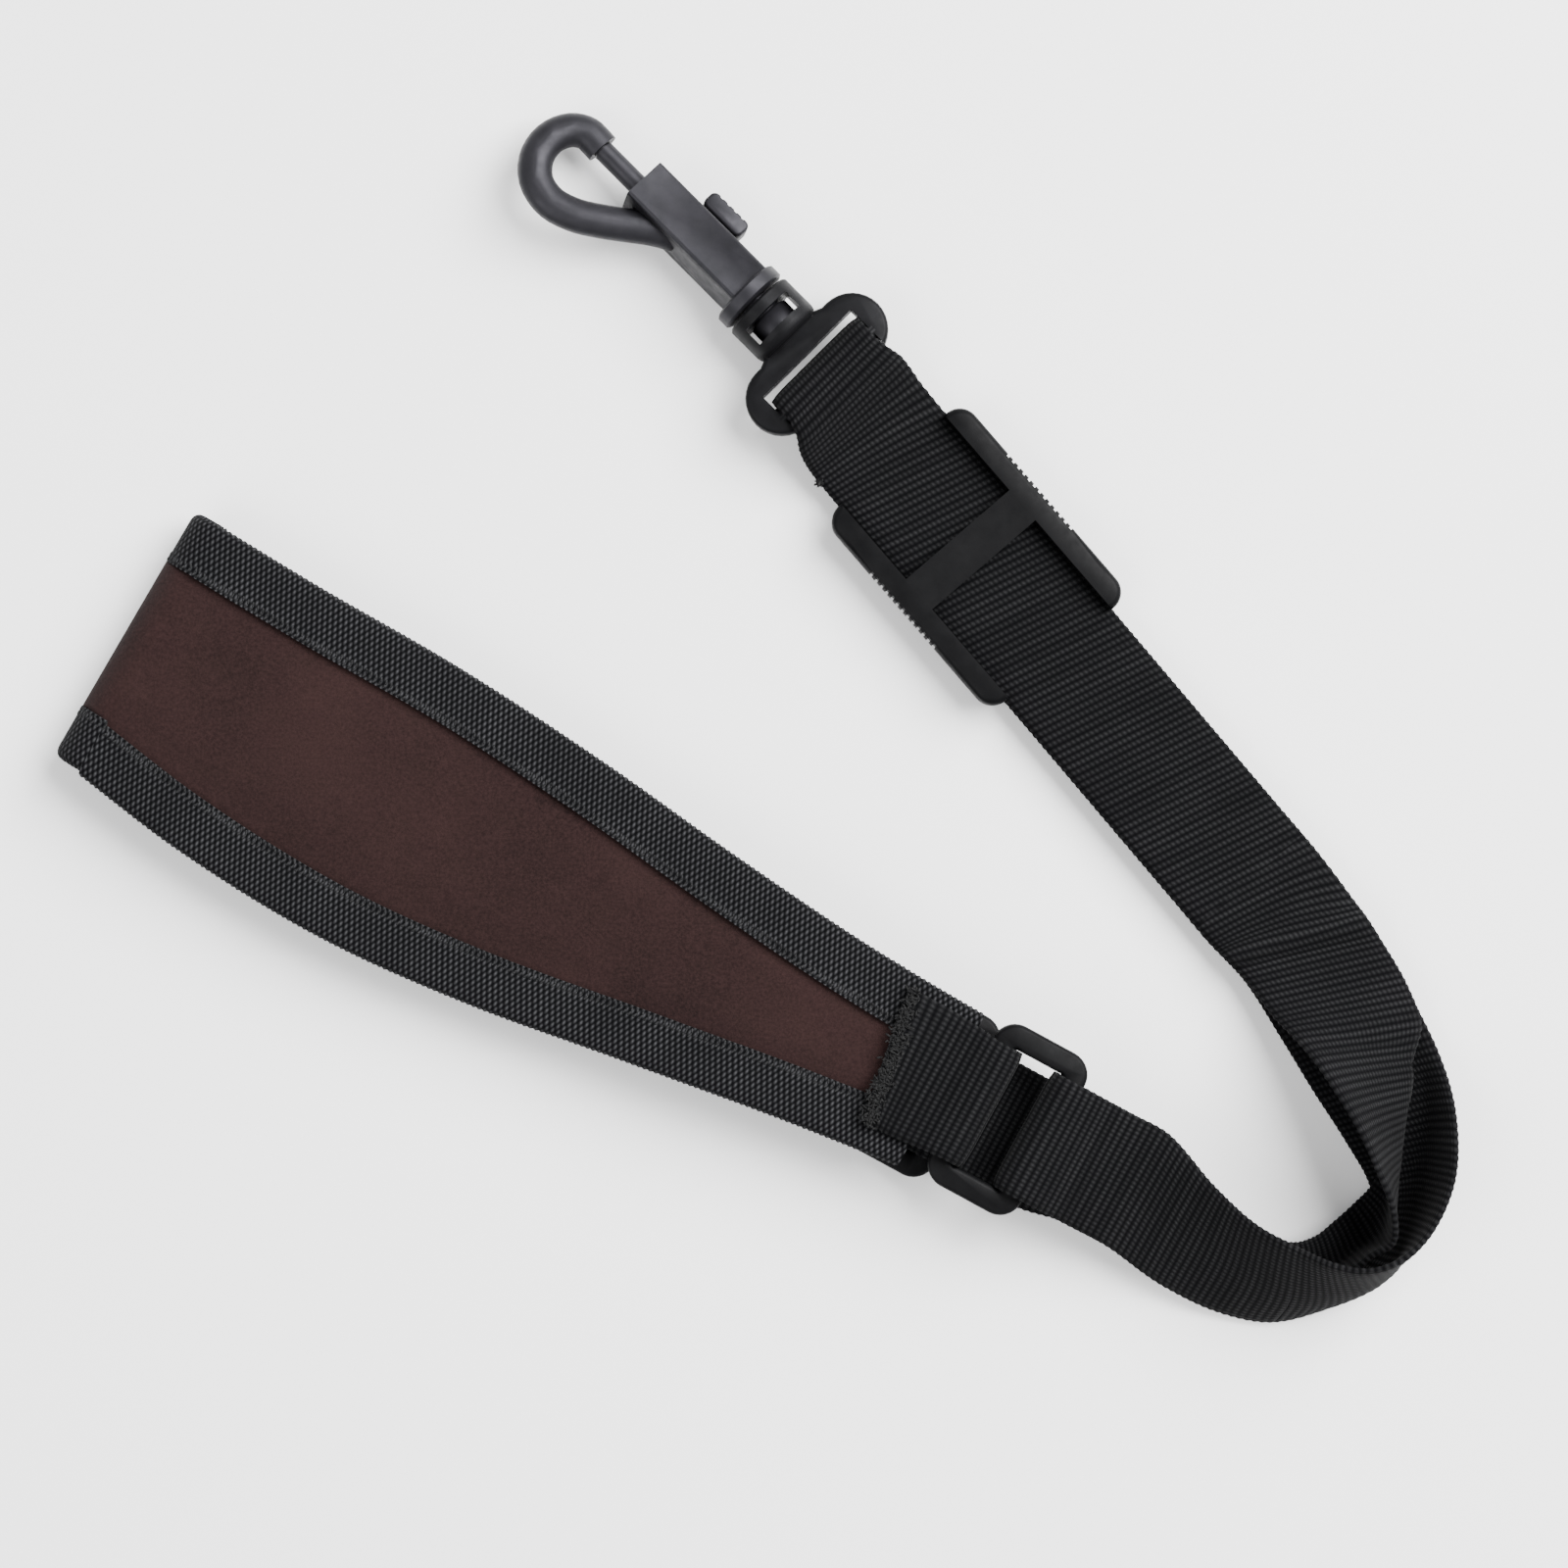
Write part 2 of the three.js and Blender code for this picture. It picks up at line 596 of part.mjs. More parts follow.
const hookX = heading(HOOK_HEADING);
const hookMatrix = new THREE.Matrix4().makeTranslation(...HOOK_ORIGIN)
  .multiply(new THREE.Matrix4().makeRotationZ(rad(HOOK_HEADING)))
  .multiply(new THREE.Matrix4().makeRotationY(rad(HOOK_DIP)));
const rolledMatrix = hookMatrix.clone().multiply(new THREE.Matrix4().makeRotationX(rad(HOOK_ROLL)));

function hookPoint(x, y, z) {
  return v3(x, y, z).applyMatrix4(hookMatrix);
}

const EYE_BAR_POINT = hookPoint(EYE_BAR, 0, 0);
const STRAIGHT_LENGTH = EYE_BAR_POINT.clone().sub(straightMiddle).dot(straightAlong) - EYE_RUN;

function buildStraight(name, z) {
  const start = straightMiddle.clone().addScaledVector(straightAlong, 0.2);
  const points = [[0, z, WEB_WIDTH], [STRAIGHT_LENGTH / 2, z, WEB_WIDTH], [STRAIGHT_LENGTH - 0.3, z, WEB_WIDTH]];
  const grid = foldedStrip([start.x, start.y], straightAlong, points, () => straightLeft, 4);
  addMesh(name, stripSolid(grid, WEB_THICK), 'webbing');
}

// The doubled webbing rises, narrows between the ends of the eye and wraps the eye's bar.
function buildEyeLoop() {
  const bar = EYE_BAR_POINT;
  const away = straightAlong.clone().negate();
  const barAcross = leftOf(hookX);
  const radius = EYE_BAR_RADIUS + 0.25 + WEB_THICK / 2;
  const narrow = EYE_LOOP_WIDTH;
  const across = (d) => barAcross.clone().lerp(straightLeft, smooth(2, EYE_RUN, d)).normalize();
  const points = [
    [EYE_RUN - 0.1, PLY_HIGH_Z, 25], [11.5, PLY_HIGH_Z + 0.6, 25], [9, 6.9, 24.9], [6.6, 9.0, 24.4],
    [4.4, 10.7, 22.6],
    ...roundBar(0, bar.z, radius, 70, 270, narrow, 8),
    [3.4, 5.1, narrow], [6.6, 3.9, 24.2], [9, 3.3, 24.9], [11.5, PLY_LOW_Z + 0.1, 25],
    [EYE_RUN - 0.1, PLY_LOW_Z, 25],
  ];
  const grid = foldedStrip([bar.x, bar.y], away, points, across, 40);
  addMesh('strap_eye_loop', stripSolid(grid, WEB_THICK), 'webbing');
}

// ---------------------------------------------------------------- stitching

// A low zigzag bar of thread across webbing near a loop. Side is -1 for the pad side of the
// loop and +1 for the strap side; distance runs away from that bar along the heading.
function buildStitch(name, ring, side, distance, height, length) {
  const along = heading(RING_HEADING);
  const across = leftOf(along);
  const bar = ringBar(ring, side);
  const steps = 16;
  const grid = [];
  for (let i = 0; i <= steps; i += 1) {
    const s = (i / steps - 0.5) * length;
    const sway = i % 2 === 0 ? 0.35 : -0.35;
    grid.push([-0.8, 0.8].map((q) => v3(bar.x, bar.y, ring[2] + height + 0.2 + STITCH_THICK / 2)
      .addScaledVector(across, s)
      .addScaledVector(along, distance + q + sway)));
  }
  addMesh(name, stripSolid(grid, STITCH_THICK), 'thread');
}

// ---------------------------------------------------------------- loops and slider

function buildRing(name, ring) {
  const outer = roundedRectangle(new THREE.Shape(), RING_LENGTH / 2, RING_WIDTH / 2, 4.2);
  const hole = roundedRectangle(new THREE.Path(), RING_LENGTH / 2 - RING_BAR, RING_WIDTH / 2 - RING_RAIL, 0.4);
  outer.holes.push(hole);
  const geometry = bevelledPlate(outer, RING_THICK, RING_BEVEL, 5);
  const merged = geometryFromManifold(manifoldFrom(geometry));
  merged.rotateZ(rad(RING_HEADING));
  merged.translate(...ring);
  addMesh(name, merged, 'plastic');
}

// Slider: two side rails with finger teeth, two low end bars under the webbing and a broad
// centre bar above it.
function buildSlider() {
  const halfLength = SLIDER_LENGTH / 2;
  const halfWidth = SLIDER_WIDTH / 2;
  const rim = roundedRectangle(new THREE.Shape(), halfLength, halfWidth, 3.6);
  const plate = manifoldFrom(bevelledPlate(rim, SLIDER_TOP - 0.2, 1.1, 5).translate(0, 0, SLIDER_TOP / 2 + 0.1));
  const inside = halfWidth - SLIDER_RAIL;
  const bottom = PLY_LOW_Z - WEB_THICK / 2 - 0.3;
  const top = PLY_HIGH_Z + WEB_THICK / 2 + 0.3;
  const channel = boxSolid(-halfLength - 1, halfLength + 1, -SLIDER_CHANNEL, SLIDER_CHANNEL, bottom, top);
  const above = [-1, 1].map((side) => boxSolid(
    side > 0 ? SLIDER_BAR_SHIFT + SLIDER_CENTRE_BAR / 2 : -halfLength - 1,
    side > 0 ? halfLength + 1 : SLIDER_BAR_SHIFT - SLIDER_CENTRE_BAR / 2,
    -inside, inside, top - 0.3, SLIDER_TOP + 1));
  const below = boxSolid(-halfLength + SLIDER_END_BAR, halfLength - SLIDER_END_BAR, -inside, inside, -1, bottom + 0.3);
  let solid = plate.subtract(channel).subtract(above[0]).subtract(above[1]).subtract(below);
  for (const side of [-1, 1]) {
    for (let i = 0; i < TOOTH_COUNT; i += 1) {
      const x = TOOTH_SHIFT + (i - (TOOTH_COUNT - 1) / 2) * TOOTH_PITCH;
      const gap = boxSolid(x - 0.3, x + 0.3, side * halfWidth - 0.45, side * halfWidth + 0.45, -1, SLIDER_TOP + 1);
      solid = solid.subtract(gap);
    }
  }
  const geometry = geometryFromManifold(solid);
  geometry.rotateZ(rad(SLIDER_HEADING));
  geometry.translate(SLIDER_CENTRE[0], SLIDER_CENTRE[1], 0);
  addMesh('slider', geometry, 'plastic');
}

// ---------------------------------------------------------------- snap hook

// Middle line of the hook's bar, from inside the body round to the nose.
const HOOK_LINE = [[17.0, 1.6], [20.5, 3.8], [24.0, 6.6], [27.8, 9.6], [31.8, 12.2], [36.4, 13.6], [40.8, 12.6],
  [43.8, 9.4], [44.6, 5.2], [43.2, 1.6], [40.8, -0.1], [38.8, -0.2], [NOSE_FACE, -0.1]];

function hookBarGeometry() {
  const path = new THREE.CatmullRomCurve3(HOOK_LINE.map(([x, y]) => v3(x, y, 0)), false, 'centripetal');
  const steps = 44;
  const sides = 18;
  const rings = [];
  for (let i = 0; i <= steps; i += 1) {
    const t = i / steps;
    const p = path.getPoint(t);
    const tangent = path.getTangent(t);
    const side = v3(-tangent.y, tangent.x, 0).normalize();
    const ring = [];
    for (let j = 0; j < sides; j += 1) {
      const angle = (2 * Math.PI * j) / sides;
      ring.push(p.clone()
        .addScaledVector(side, (HOOK_BAR_WIDE / 2) * Math.cos(angle))
        .addScaledVector(v3(0, 0, 1), (HOOK_BAR_DEEP / 2) * Math.sin(angle)));
    }
    rings.push(ring);
  }
  return loftRings(rings, fanCap(sides));
}

function bevelledBlock(x0, x1, width, depth, bevel) {
  const outline = roundedRectangle(new THREE.Shape(), width / 2, depth / 2, bevel);
  const geometry = new THREE.ExtrudeGeometry(outline, { depth: x1 - x0, bevelEnabled: false, curveSegments: 2 });
  geometry.rotateX(Math.PI / 2);
  geometry.rotateZ(Math.PI / 2);
  geometry.translate(x0, 0, 0);
  return manifoldFrom(geometry);
}

function buildHookBody() {
  const block = bevelledBlock(BODY_START - 0.2, BODY_END, BODY_WIDTH, BODY_DEPTH, 0.7).translate([0, -BODY_SHIFT, 0]);
  const collar = turnedAlongX([[-1.4, COLLAR_RADIUS - 0.5], [-1.0, COLLAR_RADIUS], [1.0, COLLAR_RADIUS], [1.4, COLLAR_RADIUS - 0.5]]);
  const post = turnedAlongX([[-8.4, 3.0], [-7.6, 4.0], [-4.8, 4.0], [-4.3, 2.9], [-1.2, 2.9]], 28);
  const bar = manifoldFrom(hookBarGeometry());
  const bore = turnedAlongX([[SPRING_START - 0.2, PIN_RADIUS + PIN_CLEAR], [BODY_END + 1, PIN_RADIUS + PIN_CLEAR]], 24);
  const slotStart = KNOB_MIDDLE - GATE_TRAVEL - 1.8;
  const slotEnd = KNOB_MIDDLE + 1.8;
  const slot = boxSolid(slotStart, slotEnd, -BODY_WIDTH, 0, -1.3, 1.3);
  const seat = turnedAlongX([[BODY_END - 1, PIN_TIP_RADIUS + PIN_CLEAR], [PIN_TIP + 0.3, PIN_TIP_RADIUS + PIN_CLEAR]], 24);
  const solid = block.add(collar).add(post).add(bar).subtract(bore).subtract(slot).subtract(seat);
  addMesh('hook_body', geometryFromManifold(solid).applyMatrix4(rolledMatrix), 'hook');
}

// Thumb knob: a rounded block beside the body with upright grooves in its outer face.
function knobSolid() {
  const outline = new THREE.Shape();
  roundedRectangle(outline, KNOB_LENGTH / 2, (KNOB_OUT - KNOB_IN) / 2, 1.2);
  const block = bevelledPlate(outline, KNOB_HEIGHT, 0.5, 4);
  let solid = manifoldFrom(block.translate(KNOB_MIDDLE, -(KNOB_IN + KNOB_OUT) / 2, 0));
  for (let i = 0; i < KNOB_GROOVES; i += 1) {
    const x = KNOB_MIDDLE + (i - (KNOB_GROOVES - 1) / 2) * KNOB_GROOVE_PITCH;
    const groove = new THREE.CylinderGeometry(0.55, 0.55, 2 * KNOB_HEIGHT, 14).rotateX(Math.PI / 2);
    solid = solid.subtract(manifoldFrom(groove.translate(x, -KNOB_OUT - 0.2, 0)));
  }
  return solid;
}

function buildGate() {
  const pin = turnedAlongX([[PIN_REAR, PIN_RADIUS], [NOSE_FACE - 0.3, PIN_RADIUS],
    [NOSE_FACE - 0.3, PIN_TIP_RADIUS], [PIN_TIP, PIN_TIP_RADIUS]], 24);
  const neck = boxSolid(KNOB_MIDDLE - 1.3, KNOB_MIDDLE + 1.3, -KNOB_IN - 1.0, -0.5, -1.0, 1.0);
  const solid = pin.add(neck).add(knobSolid());
  addMesh('gate_pin', geometryFromManifold(solid).applyMatrix4(rolledMatrix), 'hook');
}

class SpringCurve extends THREE.Curve {
  getPoint(t, target = v3(0, 0, 0)) {
    const angle = 2 * Math.PI * SPRING_COILS * t;
    return target.set(lerp(SPRING_START + 0.4, PIN_REAR - 0.4, t), 1.45 * Math.cos(angle), 1.45 * Math.sin(angle));
  }
}

function buildSpring() {
  const path = new SpringCurve();
  const steps = 66;
  const frames = path.computeFrenetFrames(steps, false);
  const rings = [];
  for (let i = 0; i <= steps; i += 1) {
    const p = path.getPoint(i / steps);
    const ring = [];
    for (let j = 0; j < 6; j += 1) {
      const angle = (2 * Math.PI * j) / 6;
      ring.push(p.clone()
        .addScaledVector(frames.normals[i], 0.25 * Math.cos(angle))
        .addScaledVector(frames.binormals[i], 0.25 * Math.sin(angle)));
    }
    rings.push(ring);
  }
  addMesh('gate_spring', loftRings(rings, fanCap(6)).applyMatrix4(rolledMatrix), 'steel');
}

// Swivel eye: a windowed barrel that holds the hook's post, and a stadium plate whose slot
// takes the webbing.
function buildSwivelEye() {
  const barrel = turnedAlongX([[CAGE_END - 0.8, CAGE_RADIUS - 0.9], [CAGE_END, CAGE_RADIUS - 0.2],
    [CAGE_END + 0.8, CAGE_RADIUS], [CAGE_START - 0.4, CAGE_RADIUS], [CAGE_START, CAGE_RADIUS - 0.4]], 36);
  const inside = turnedAlongX([[CAGE_END + 0.8, 4.5], [-4.4, 4.5], [-3.9, 3.3], [CAGE_START + 1, 3.3]], 28);
  const window = boxSolid(-7.8, -4.3, -4.9, 4.9, -10, 10);
  const outline = new THREE.Shape();
  const reach = EYE_HALF - EYE_END_RADIUS;
  outline.moveTo(EYE_END_RADIUS, -reach);
  outline.lineTo(EYE_END_RADIUS, reach);
  outline.absarc(0, reach, EYE_END_RADIUS, 0, Math.PI, false);
  outline.lineTo(-EYE_END_RADIUS, -reach);
  outline.absarc(0, -reach, EYE_END_RADIUS, Math.PI, 2 * Math.PI, false);
  const plate = manifoldFrom(bevelledPlate(outline, EYE_THICK, 0.8, 8).translate(EYE_MIDDLE, 0, 0));
  const archOutline = new THREE.Shape();
  archOutline.absellipse(0, 0, EYE_ARCH[0], EYE_ARCH[1], 0, 2 * Math.PI, false, 0);
  const arch = manifoldFrom(bevelledPlate(archOutline, EYE_THICK, 0.8, 40).translate(EYE_MIDDLE, 0, 0))
    .intersect(boxSolid(EYE_MIDDLE - 1, 0, -20, 20, -10, 10));
  const cut = boxSolid(EYE_BAR - 6, EYE_SLOT_START, -EYE_SLOT_HALF, EYE_SLOT_HALF, -10, 10);
  const bar = turnedAlongX([[-EYE_SLOT_HALF - 0.6, EYE_BAR_RADIUS], [EYE_SLOT_HALF + 0.6, EYE_BAR_RADIUS]], 20)
    .rotate([0, 0, 90]).translate([EYE_BAR, 0, 0]);
  const solid = barrel.add(plate).add(arch).subtract(cut).add(bar).subtract(inside).subtract(window);
  addMesh('swivel_eye', geometryFromManifold(solid).applyMatrix4(hookMatrix), 'hook');
}

// ---------------------------------------------------------------- assembly

buildPad();
buildTab('tab_upper', RING_UPPER, TAB_LENGTH);
buildTab('tab_lower', RING_LOWER, TAB_LENGTH);
buildStitch('tab_stitch_upper', RING_UPPER, -1, -TAB_LENGTH + 2.2, TAB_TOP + WEB_THICK / 2, 22);
buildRing('ring_upper', RING_UPPER);
buildRing('ring_lower', RING_LOWER);
buildRingEnd('strap_upper_end', RING_UPPER, 0.15, -4.65);
buildRingEnd('strap_lower_end', RING_LOWER, 0.6, -2.3);
buildBends();
buildStraight('strap_low_ply', PLY_LOW_Z);
buildStraight('strap_high_ply', PLY_HIGH_Z);
buildEyeLoop();
buildSlider();
buildHookBody();
buildGate();
buildSpring();
buildSwivelEye();

for (const mesh of group.children) {
  mesh.geometry.translate(-FOOTPRINT_MIDDLE[0], -FOOTPRINT_MIDDLE[1], 0);
}

export default group;
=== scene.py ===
import json
import math

import bmesh
import bpy
import numpy as np
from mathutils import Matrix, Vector


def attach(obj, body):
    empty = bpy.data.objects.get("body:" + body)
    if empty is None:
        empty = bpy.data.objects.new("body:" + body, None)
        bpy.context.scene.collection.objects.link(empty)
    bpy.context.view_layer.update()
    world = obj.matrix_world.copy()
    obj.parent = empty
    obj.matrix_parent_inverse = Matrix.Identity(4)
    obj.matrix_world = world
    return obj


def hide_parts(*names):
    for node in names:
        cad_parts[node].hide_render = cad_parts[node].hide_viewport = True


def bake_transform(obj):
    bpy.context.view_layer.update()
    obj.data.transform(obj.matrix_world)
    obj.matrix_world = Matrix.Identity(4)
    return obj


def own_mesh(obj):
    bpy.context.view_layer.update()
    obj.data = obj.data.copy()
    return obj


# Looks for the saxophone neck strap. Lengths are millimetres in the record's frame unless a
# name ends in _M. Pieces are scaled to metres when they become meshes.

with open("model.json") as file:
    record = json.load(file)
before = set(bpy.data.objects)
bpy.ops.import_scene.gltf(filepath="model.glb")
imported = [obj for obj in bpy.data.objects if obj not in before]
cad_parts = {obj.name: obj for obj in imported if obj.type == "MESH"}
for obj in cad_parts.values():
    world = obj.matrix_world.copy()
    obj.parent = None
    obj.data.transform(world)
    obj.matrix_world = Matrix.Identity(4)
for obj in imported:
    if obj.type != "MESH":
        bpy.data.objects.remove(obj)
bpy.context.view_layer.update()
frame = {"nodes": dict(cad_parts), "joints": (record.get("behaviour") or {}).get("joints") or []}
joints = {joint["name"]: joint for joint in frame["joints"]}

MM = 0.001
FOOTPRINT_MIDDLE = np.array([-4.9, 11.16, 0.0])

WEB_WIDTH = 25.0
WEB_THICK = 1.45
SOLID_WEB_THICK = 1.5                    # the webbing's thickness in the CAD solids
BAR_CLEAR = 0.25                         # webbing to the bar that it wraps
PLY_PITCH = 1.7
RIB_PITCH = 1.3
RIB_HEIGHT = 0.09
RIB_LEAN = math.tan(math.radians(11))
RIB_LEAN_UPPER = 1.3                     # the upper ply's lean as a share of RIB_LEAN
WEB_DOT_PITCH = 0.88
SELVEDGE_WAVE = 0.08
STRAP_COLUMNS = 18
CREASE_HEIGHT = 1.5
CREASE_WIDTH = 2.2
CREASE_BEFORE_BEND = 0.5                 # the crease lies on the upper ply, this far short of the bend
CREASE_SLANT = math.tan(math.radians(12))

PAD_FOLD = np.array([-116.0, 27.0]) - FOOTPRINT_MIDDLE[:2]
PAD_HEADING = -30.2
PAD_UPPER_LENGTH = 164.5
PAD_LOWER_LENGTH = 148.5
PAD_FOLD_HEIGHT = 11.6
PAD_END_UPPER_Z = 12.5
PAD_END_LOWER_Z = 4.15
SUEDE = 0.7
FOAM = 2.0
LINING = 0.5
TAPE = 0.7
LAYER_GAP = 0.2
THIN_FOAM = 0.5                          # foam left under the sewn tabs
THINNING_START = 40.0                    # distances from each pad end
THINNING_END = 21.0
INSET = 0.4                              # suede and lining stay this far inside the tape
SUEDE_GAP = 0.12                         # shown suede to the tape's inner edge
TAPE_WIDTH = 10.0
TAPE_TOOTH = 0.14
TAPE_CORNER = 1.6
DOT_PITCH = 1.05
DOT_ROWS = 2.0
SUEDE_CROWN = 0.75
STITCH_RADIUS = 0.19
STITCH_SINK = 0.02
STITCH_SLANT = 0.35                      # share of the way to the next stitch
FRAY_COUNT = 620
KNOT_COUNT = 16
KNOT_MIDDLE = np.array([6.3, 53.0, 5.0]) - FOOTPRINT_MIDDLE

RING_HEADING = -28.6
RING_LENGTH = 18.0
RING_BAR = 4.3
RING_UPPER = np.array([39.1, -58.7, PAD_END_UPPER_Z]) - FOOTPRINT_MIDDLE
RING_LOWER = np.array([24.2, -52.7, PAD_END_LOWER_Z]) - FOOTPRINT_MIDDLE
RING_WEB_WIDTH = 22.6                    # the webbing bunches a little to pass a loop
TAB_LENGTH = 17.5
TAB_TOP = 2.8
TAB_HALF_WIDTH = 12.2
SEWN_LENGTH = 18.95
CUT_SLANT = 0.16                         # the tabs' cut ends are not quite square
RING_BAR_REACH = 2.36                    # middle of a loop's bar to its farthest edge
LOOP_RADIUS = RING_BAR_REACH + BAR_CLEAR + SOLID_WEB_THICK / 2

STRAIGHT_HEADING = 130.3
STRAIGHT_START = np.array([86.0, -21.6, 0.0]) - FOOTPRINT_MIDDLE
PLY_LOW_Z = 2.95
PLY_HIGH_Z = PLY_LOW_Z + PLY_PITCH
EYE_RUN = 14.0
EYE_LOOP_WIDTH = 21.0
EYE_BAR_RADIUS = 2.2

FLOOR_HALF_M = 3.0
FLOOR_DROP_M = 0.00022
CAMERA_HEIGHT_M = 0.9
CAMERA_WIDTH_M = 0.2783
SENSOR_MM = 36.0


# ---------------------------------------------------------------- curves and grids

def heading(degrees):
    angle = math.radians(degrees)
    return np.array([math.cos(angle), math.sin(angle), 0.0])


def left_of(direction):
    return np.array([-direction[1], direction[0], 0.0])


def smooth(low, high, x):
    """0 below low, 1 above high, and an even S-curve between."""
    t = np.clip((np.asarray(x, float) - low) / (high - low), 0.0, 1.0)
    return t * t * (3.0 - 2.0 * t)


def spline(points, ts):
    """Points at parameters ts (0 to 1) of a centripetal Catmull-Rom curve through points."""
    points = np.asarray(points, float)
    first = 2 * points[0] - points[1]
    last = 2 * points[-1] - points[-2]
    padded = np.vstack([first, points, last])
    spans = len(points) - 1
    x = np.clip(np.asarray(ts, float) * spans, 0, spans - 1e-9)
    k = x.astype(int)
    w = (x - k)[:, None]
    p0, p1, p2, p3 = (padded[k + i] for i in range(4))
    d0, d1, d2 = (np.maximum(np.linalg.norm(b - a, axis=1), 1e-6)[:, None] ** 0.5
                  for a, b in ((p0, p1), (p1, p2), (p2, p3)))
    t1 = ((p1 - p0) / d0 - (p2 - p0) / (d0 + d1) + (p2 - p1) / d1) * d1
    t2 = ((p2 - p1) / d1 - (p3 - p1) / (d1 + d2) + (p3 - p2) / d2) * d1
    c2 = -3 * p1 + 3 * p2 - 2 * t1 - t2
    c3 = 2 * p1 - 2 * p2 + t1 + t2
    return p1 + t1 * w + c2 * w ** 2 + c3 * w ** 3


def running_length(line):
    """Length along a polyline at each of its points."""
    steps = np.linalg.norm(np.diff(line, axis=0), axis=1)
    return np.concatenate([[0.0], np.cumsum(steps)])


def resample(line, count):
    """Evenly spaced points along a polyline."""
    lengths = running_length(line)
    targets = np.linspace(0.0, lengths[-1], count)
    return np.stack([np.interp(targets, lengths, line[:, i]) for i in range(line.shape[1])], axis=1)


def closed_rings(top, bottom):
    """Rows that run over the top and back along the underside."""
    return np.concatenate([top, bottom[:, ::-1]], axis=1)


def grid_normals(grid):
    along = np.gradient(grid, axis=0)
    across = np.gradient(grid, axis=1)
    normals = np.cross(along, across)
    return normals / np.maximum(np.linalg.norm(normals, axis=2, keepdims=True), 1e-9)


def arc_lengths(grid):
    """Length along the middle of a grid of rows."""
    half = grid.shape[1] // 2
    return running_length(grid[:, half - 1:half + 1].mean(axis=1))


# ---------------------------------------------------------------- meshes

def new_piece(name, vertices, faces, material, weave=None, smooth_angle=None):
    """A mesh object from millimetre vertices, with an optional weave coordinate per vertex."""
    mesh = bpy.data.meshes.new(name)
    mesh.from_pydata((np.asarray(vertices) * MM).tolist(), [], [list(face) for face in faces])
    mesh.update()
    if weave is not None:
        layer = mesh.attributes.new("weave", "FLOAT_VECTOR", "POINT")
        layer.data.foreach_set("vector", np.asarray(weave, np.float32).ravel())
    mesh.polygons.foreach_set("use_smooth", [True] * len(mesh.polygons))
    if smooth_angle is not None:
        mesh.set_sharp_from_angle(angle=math.radians(smooth_angle))
    mesh.materials.append(material)
    piece = bpy.data.objects.new(name, mesh)
    bpy.context.scene.collection.objects.link(piece)
    return piece


def loft_faces(rings, count, closed_caps=True):
    """Faces of a tube of equal rings, stored one ring after another."""
    faces = []
    for i in range(rings - 1):
        for j in range(count):
            a = i * count + j
            b = i * count + (j + 1) % count
            faces.append((a, b, b + count, a + count))
    if closed_caps:
        faces.append(tuple(range(count - 1, -1, -1)))
        faces.append(tuple(range((rings - 1) * count, rings * count)))
    return faces


def strip_faces(rings, columns):
    """Faces of a closed strip whose rings run over the top and back along the underside."""
    count = 2 * columns
    faces = loft_faces(rings, count, closed_caps=False)
    for start, flip in ((0, True), ((rings - 1) * count, False)):
        for j in range(columns - 1):
            far = count - 1 - j
            quad = (start + j, start + j + 1, start + far - 1, start + far)
            faces.append(quad[::-1] if flip else quad)
    return faces


# ---------------------------------------------------------------- the strap's path

ring_along = heading(RING_HEADING)
ring_side = left_of(ring_along)
straight_along = heading(STRAIGHT_HEADING)
straight_left = left_of(straight_along)
swivel = joints["hook_swivel"]
hook_x = np.array(swivel["axis"])
hook_across = left_of(hook_x / np.linalg.norm(hook_x[:2]))
eye_bar = np.array(joints["eye_tilt"]["pos_m"]) / MM

SPREAD = np.linspace(-1.0, 1.0, 7)


def flat_row(middle, across, width):
    return np.array([middle + across * width / 2 * q for q in SPREAD])


def rail_row(a, c, b):
    """A cross-section from edge a over the soft fold at c to edge b."""
    a, c, b = (np.array(p, float) - FOOTPRINT_MIDDLE for p in (a, c, b))
    before = a + (c - a) * 0.72
    after = c + (b - c) * 0.22
    soft = ((before + after) / 2) * 0.65 + c * 0.35
    return np.array([a, a + (c - a) * 0.4, before, soft, after, c + (b - c) * 0.6, b])


def bar_rows(bar, away, across, radius, start, end, width, count):
    """Cross-sections round a bar, from one angle to another in degrees."""
    rows = []
    for angle in np.radians(np.linspace(start, end, count)):
        middle = bar + away * radius * math.cos(angle) + np.array([0, 0, radius * math.sin(angle)])
        rows.append(flat_row(middle, across, width))
    return rows


def ring_bar(ring, side):
    """Middle of a loop's far bar, side 1, or near bar, side -1."""
    return ring + ring_along * side * (RING_LENGTH - RING_BAR) / 2


def ring_end_rows(ring, end_left, end_right):
    """From the cut end of the folded-under flap, round the ring's far bar, out along the strap."""
    bar = ring_bar(ring, 1)
    flap = [(SEWN_LENGTH - 0.4, -0.87), (12.0, -0.87), (8.0, -1.0), (4.0, -2.4)]
    over = [(4.0, 2.4), (8.0, 1.0), (12.0, 0.87), (SEWN_LENGTH, 0.87)]

    def place(distance, height):
        share = smooth(3.0, SEWN_LENGTH, distance)
        row = flat_row(bar + ring_along * distance + [0, 0, height], ring_side, RING_WEB_WIDTH)
        target = np.where(SPREAD > 0, end_left, end_right)
        drop = np.abs(SPREAD) * target + 0.5 * (1 - np.abs(SPREAD)) * (end_left + end_right)
        row[:, 2] += share * drop
        return row

    rows = [place(d, h) for d, h in flap]
    rows += bar_rows(bar, ring_along, ring_side, LOOP_RADIUS, 270, 90, RING_WEB_WIDTH, 7)
    rows += [place(d, h) for d, h in over]
    return rows


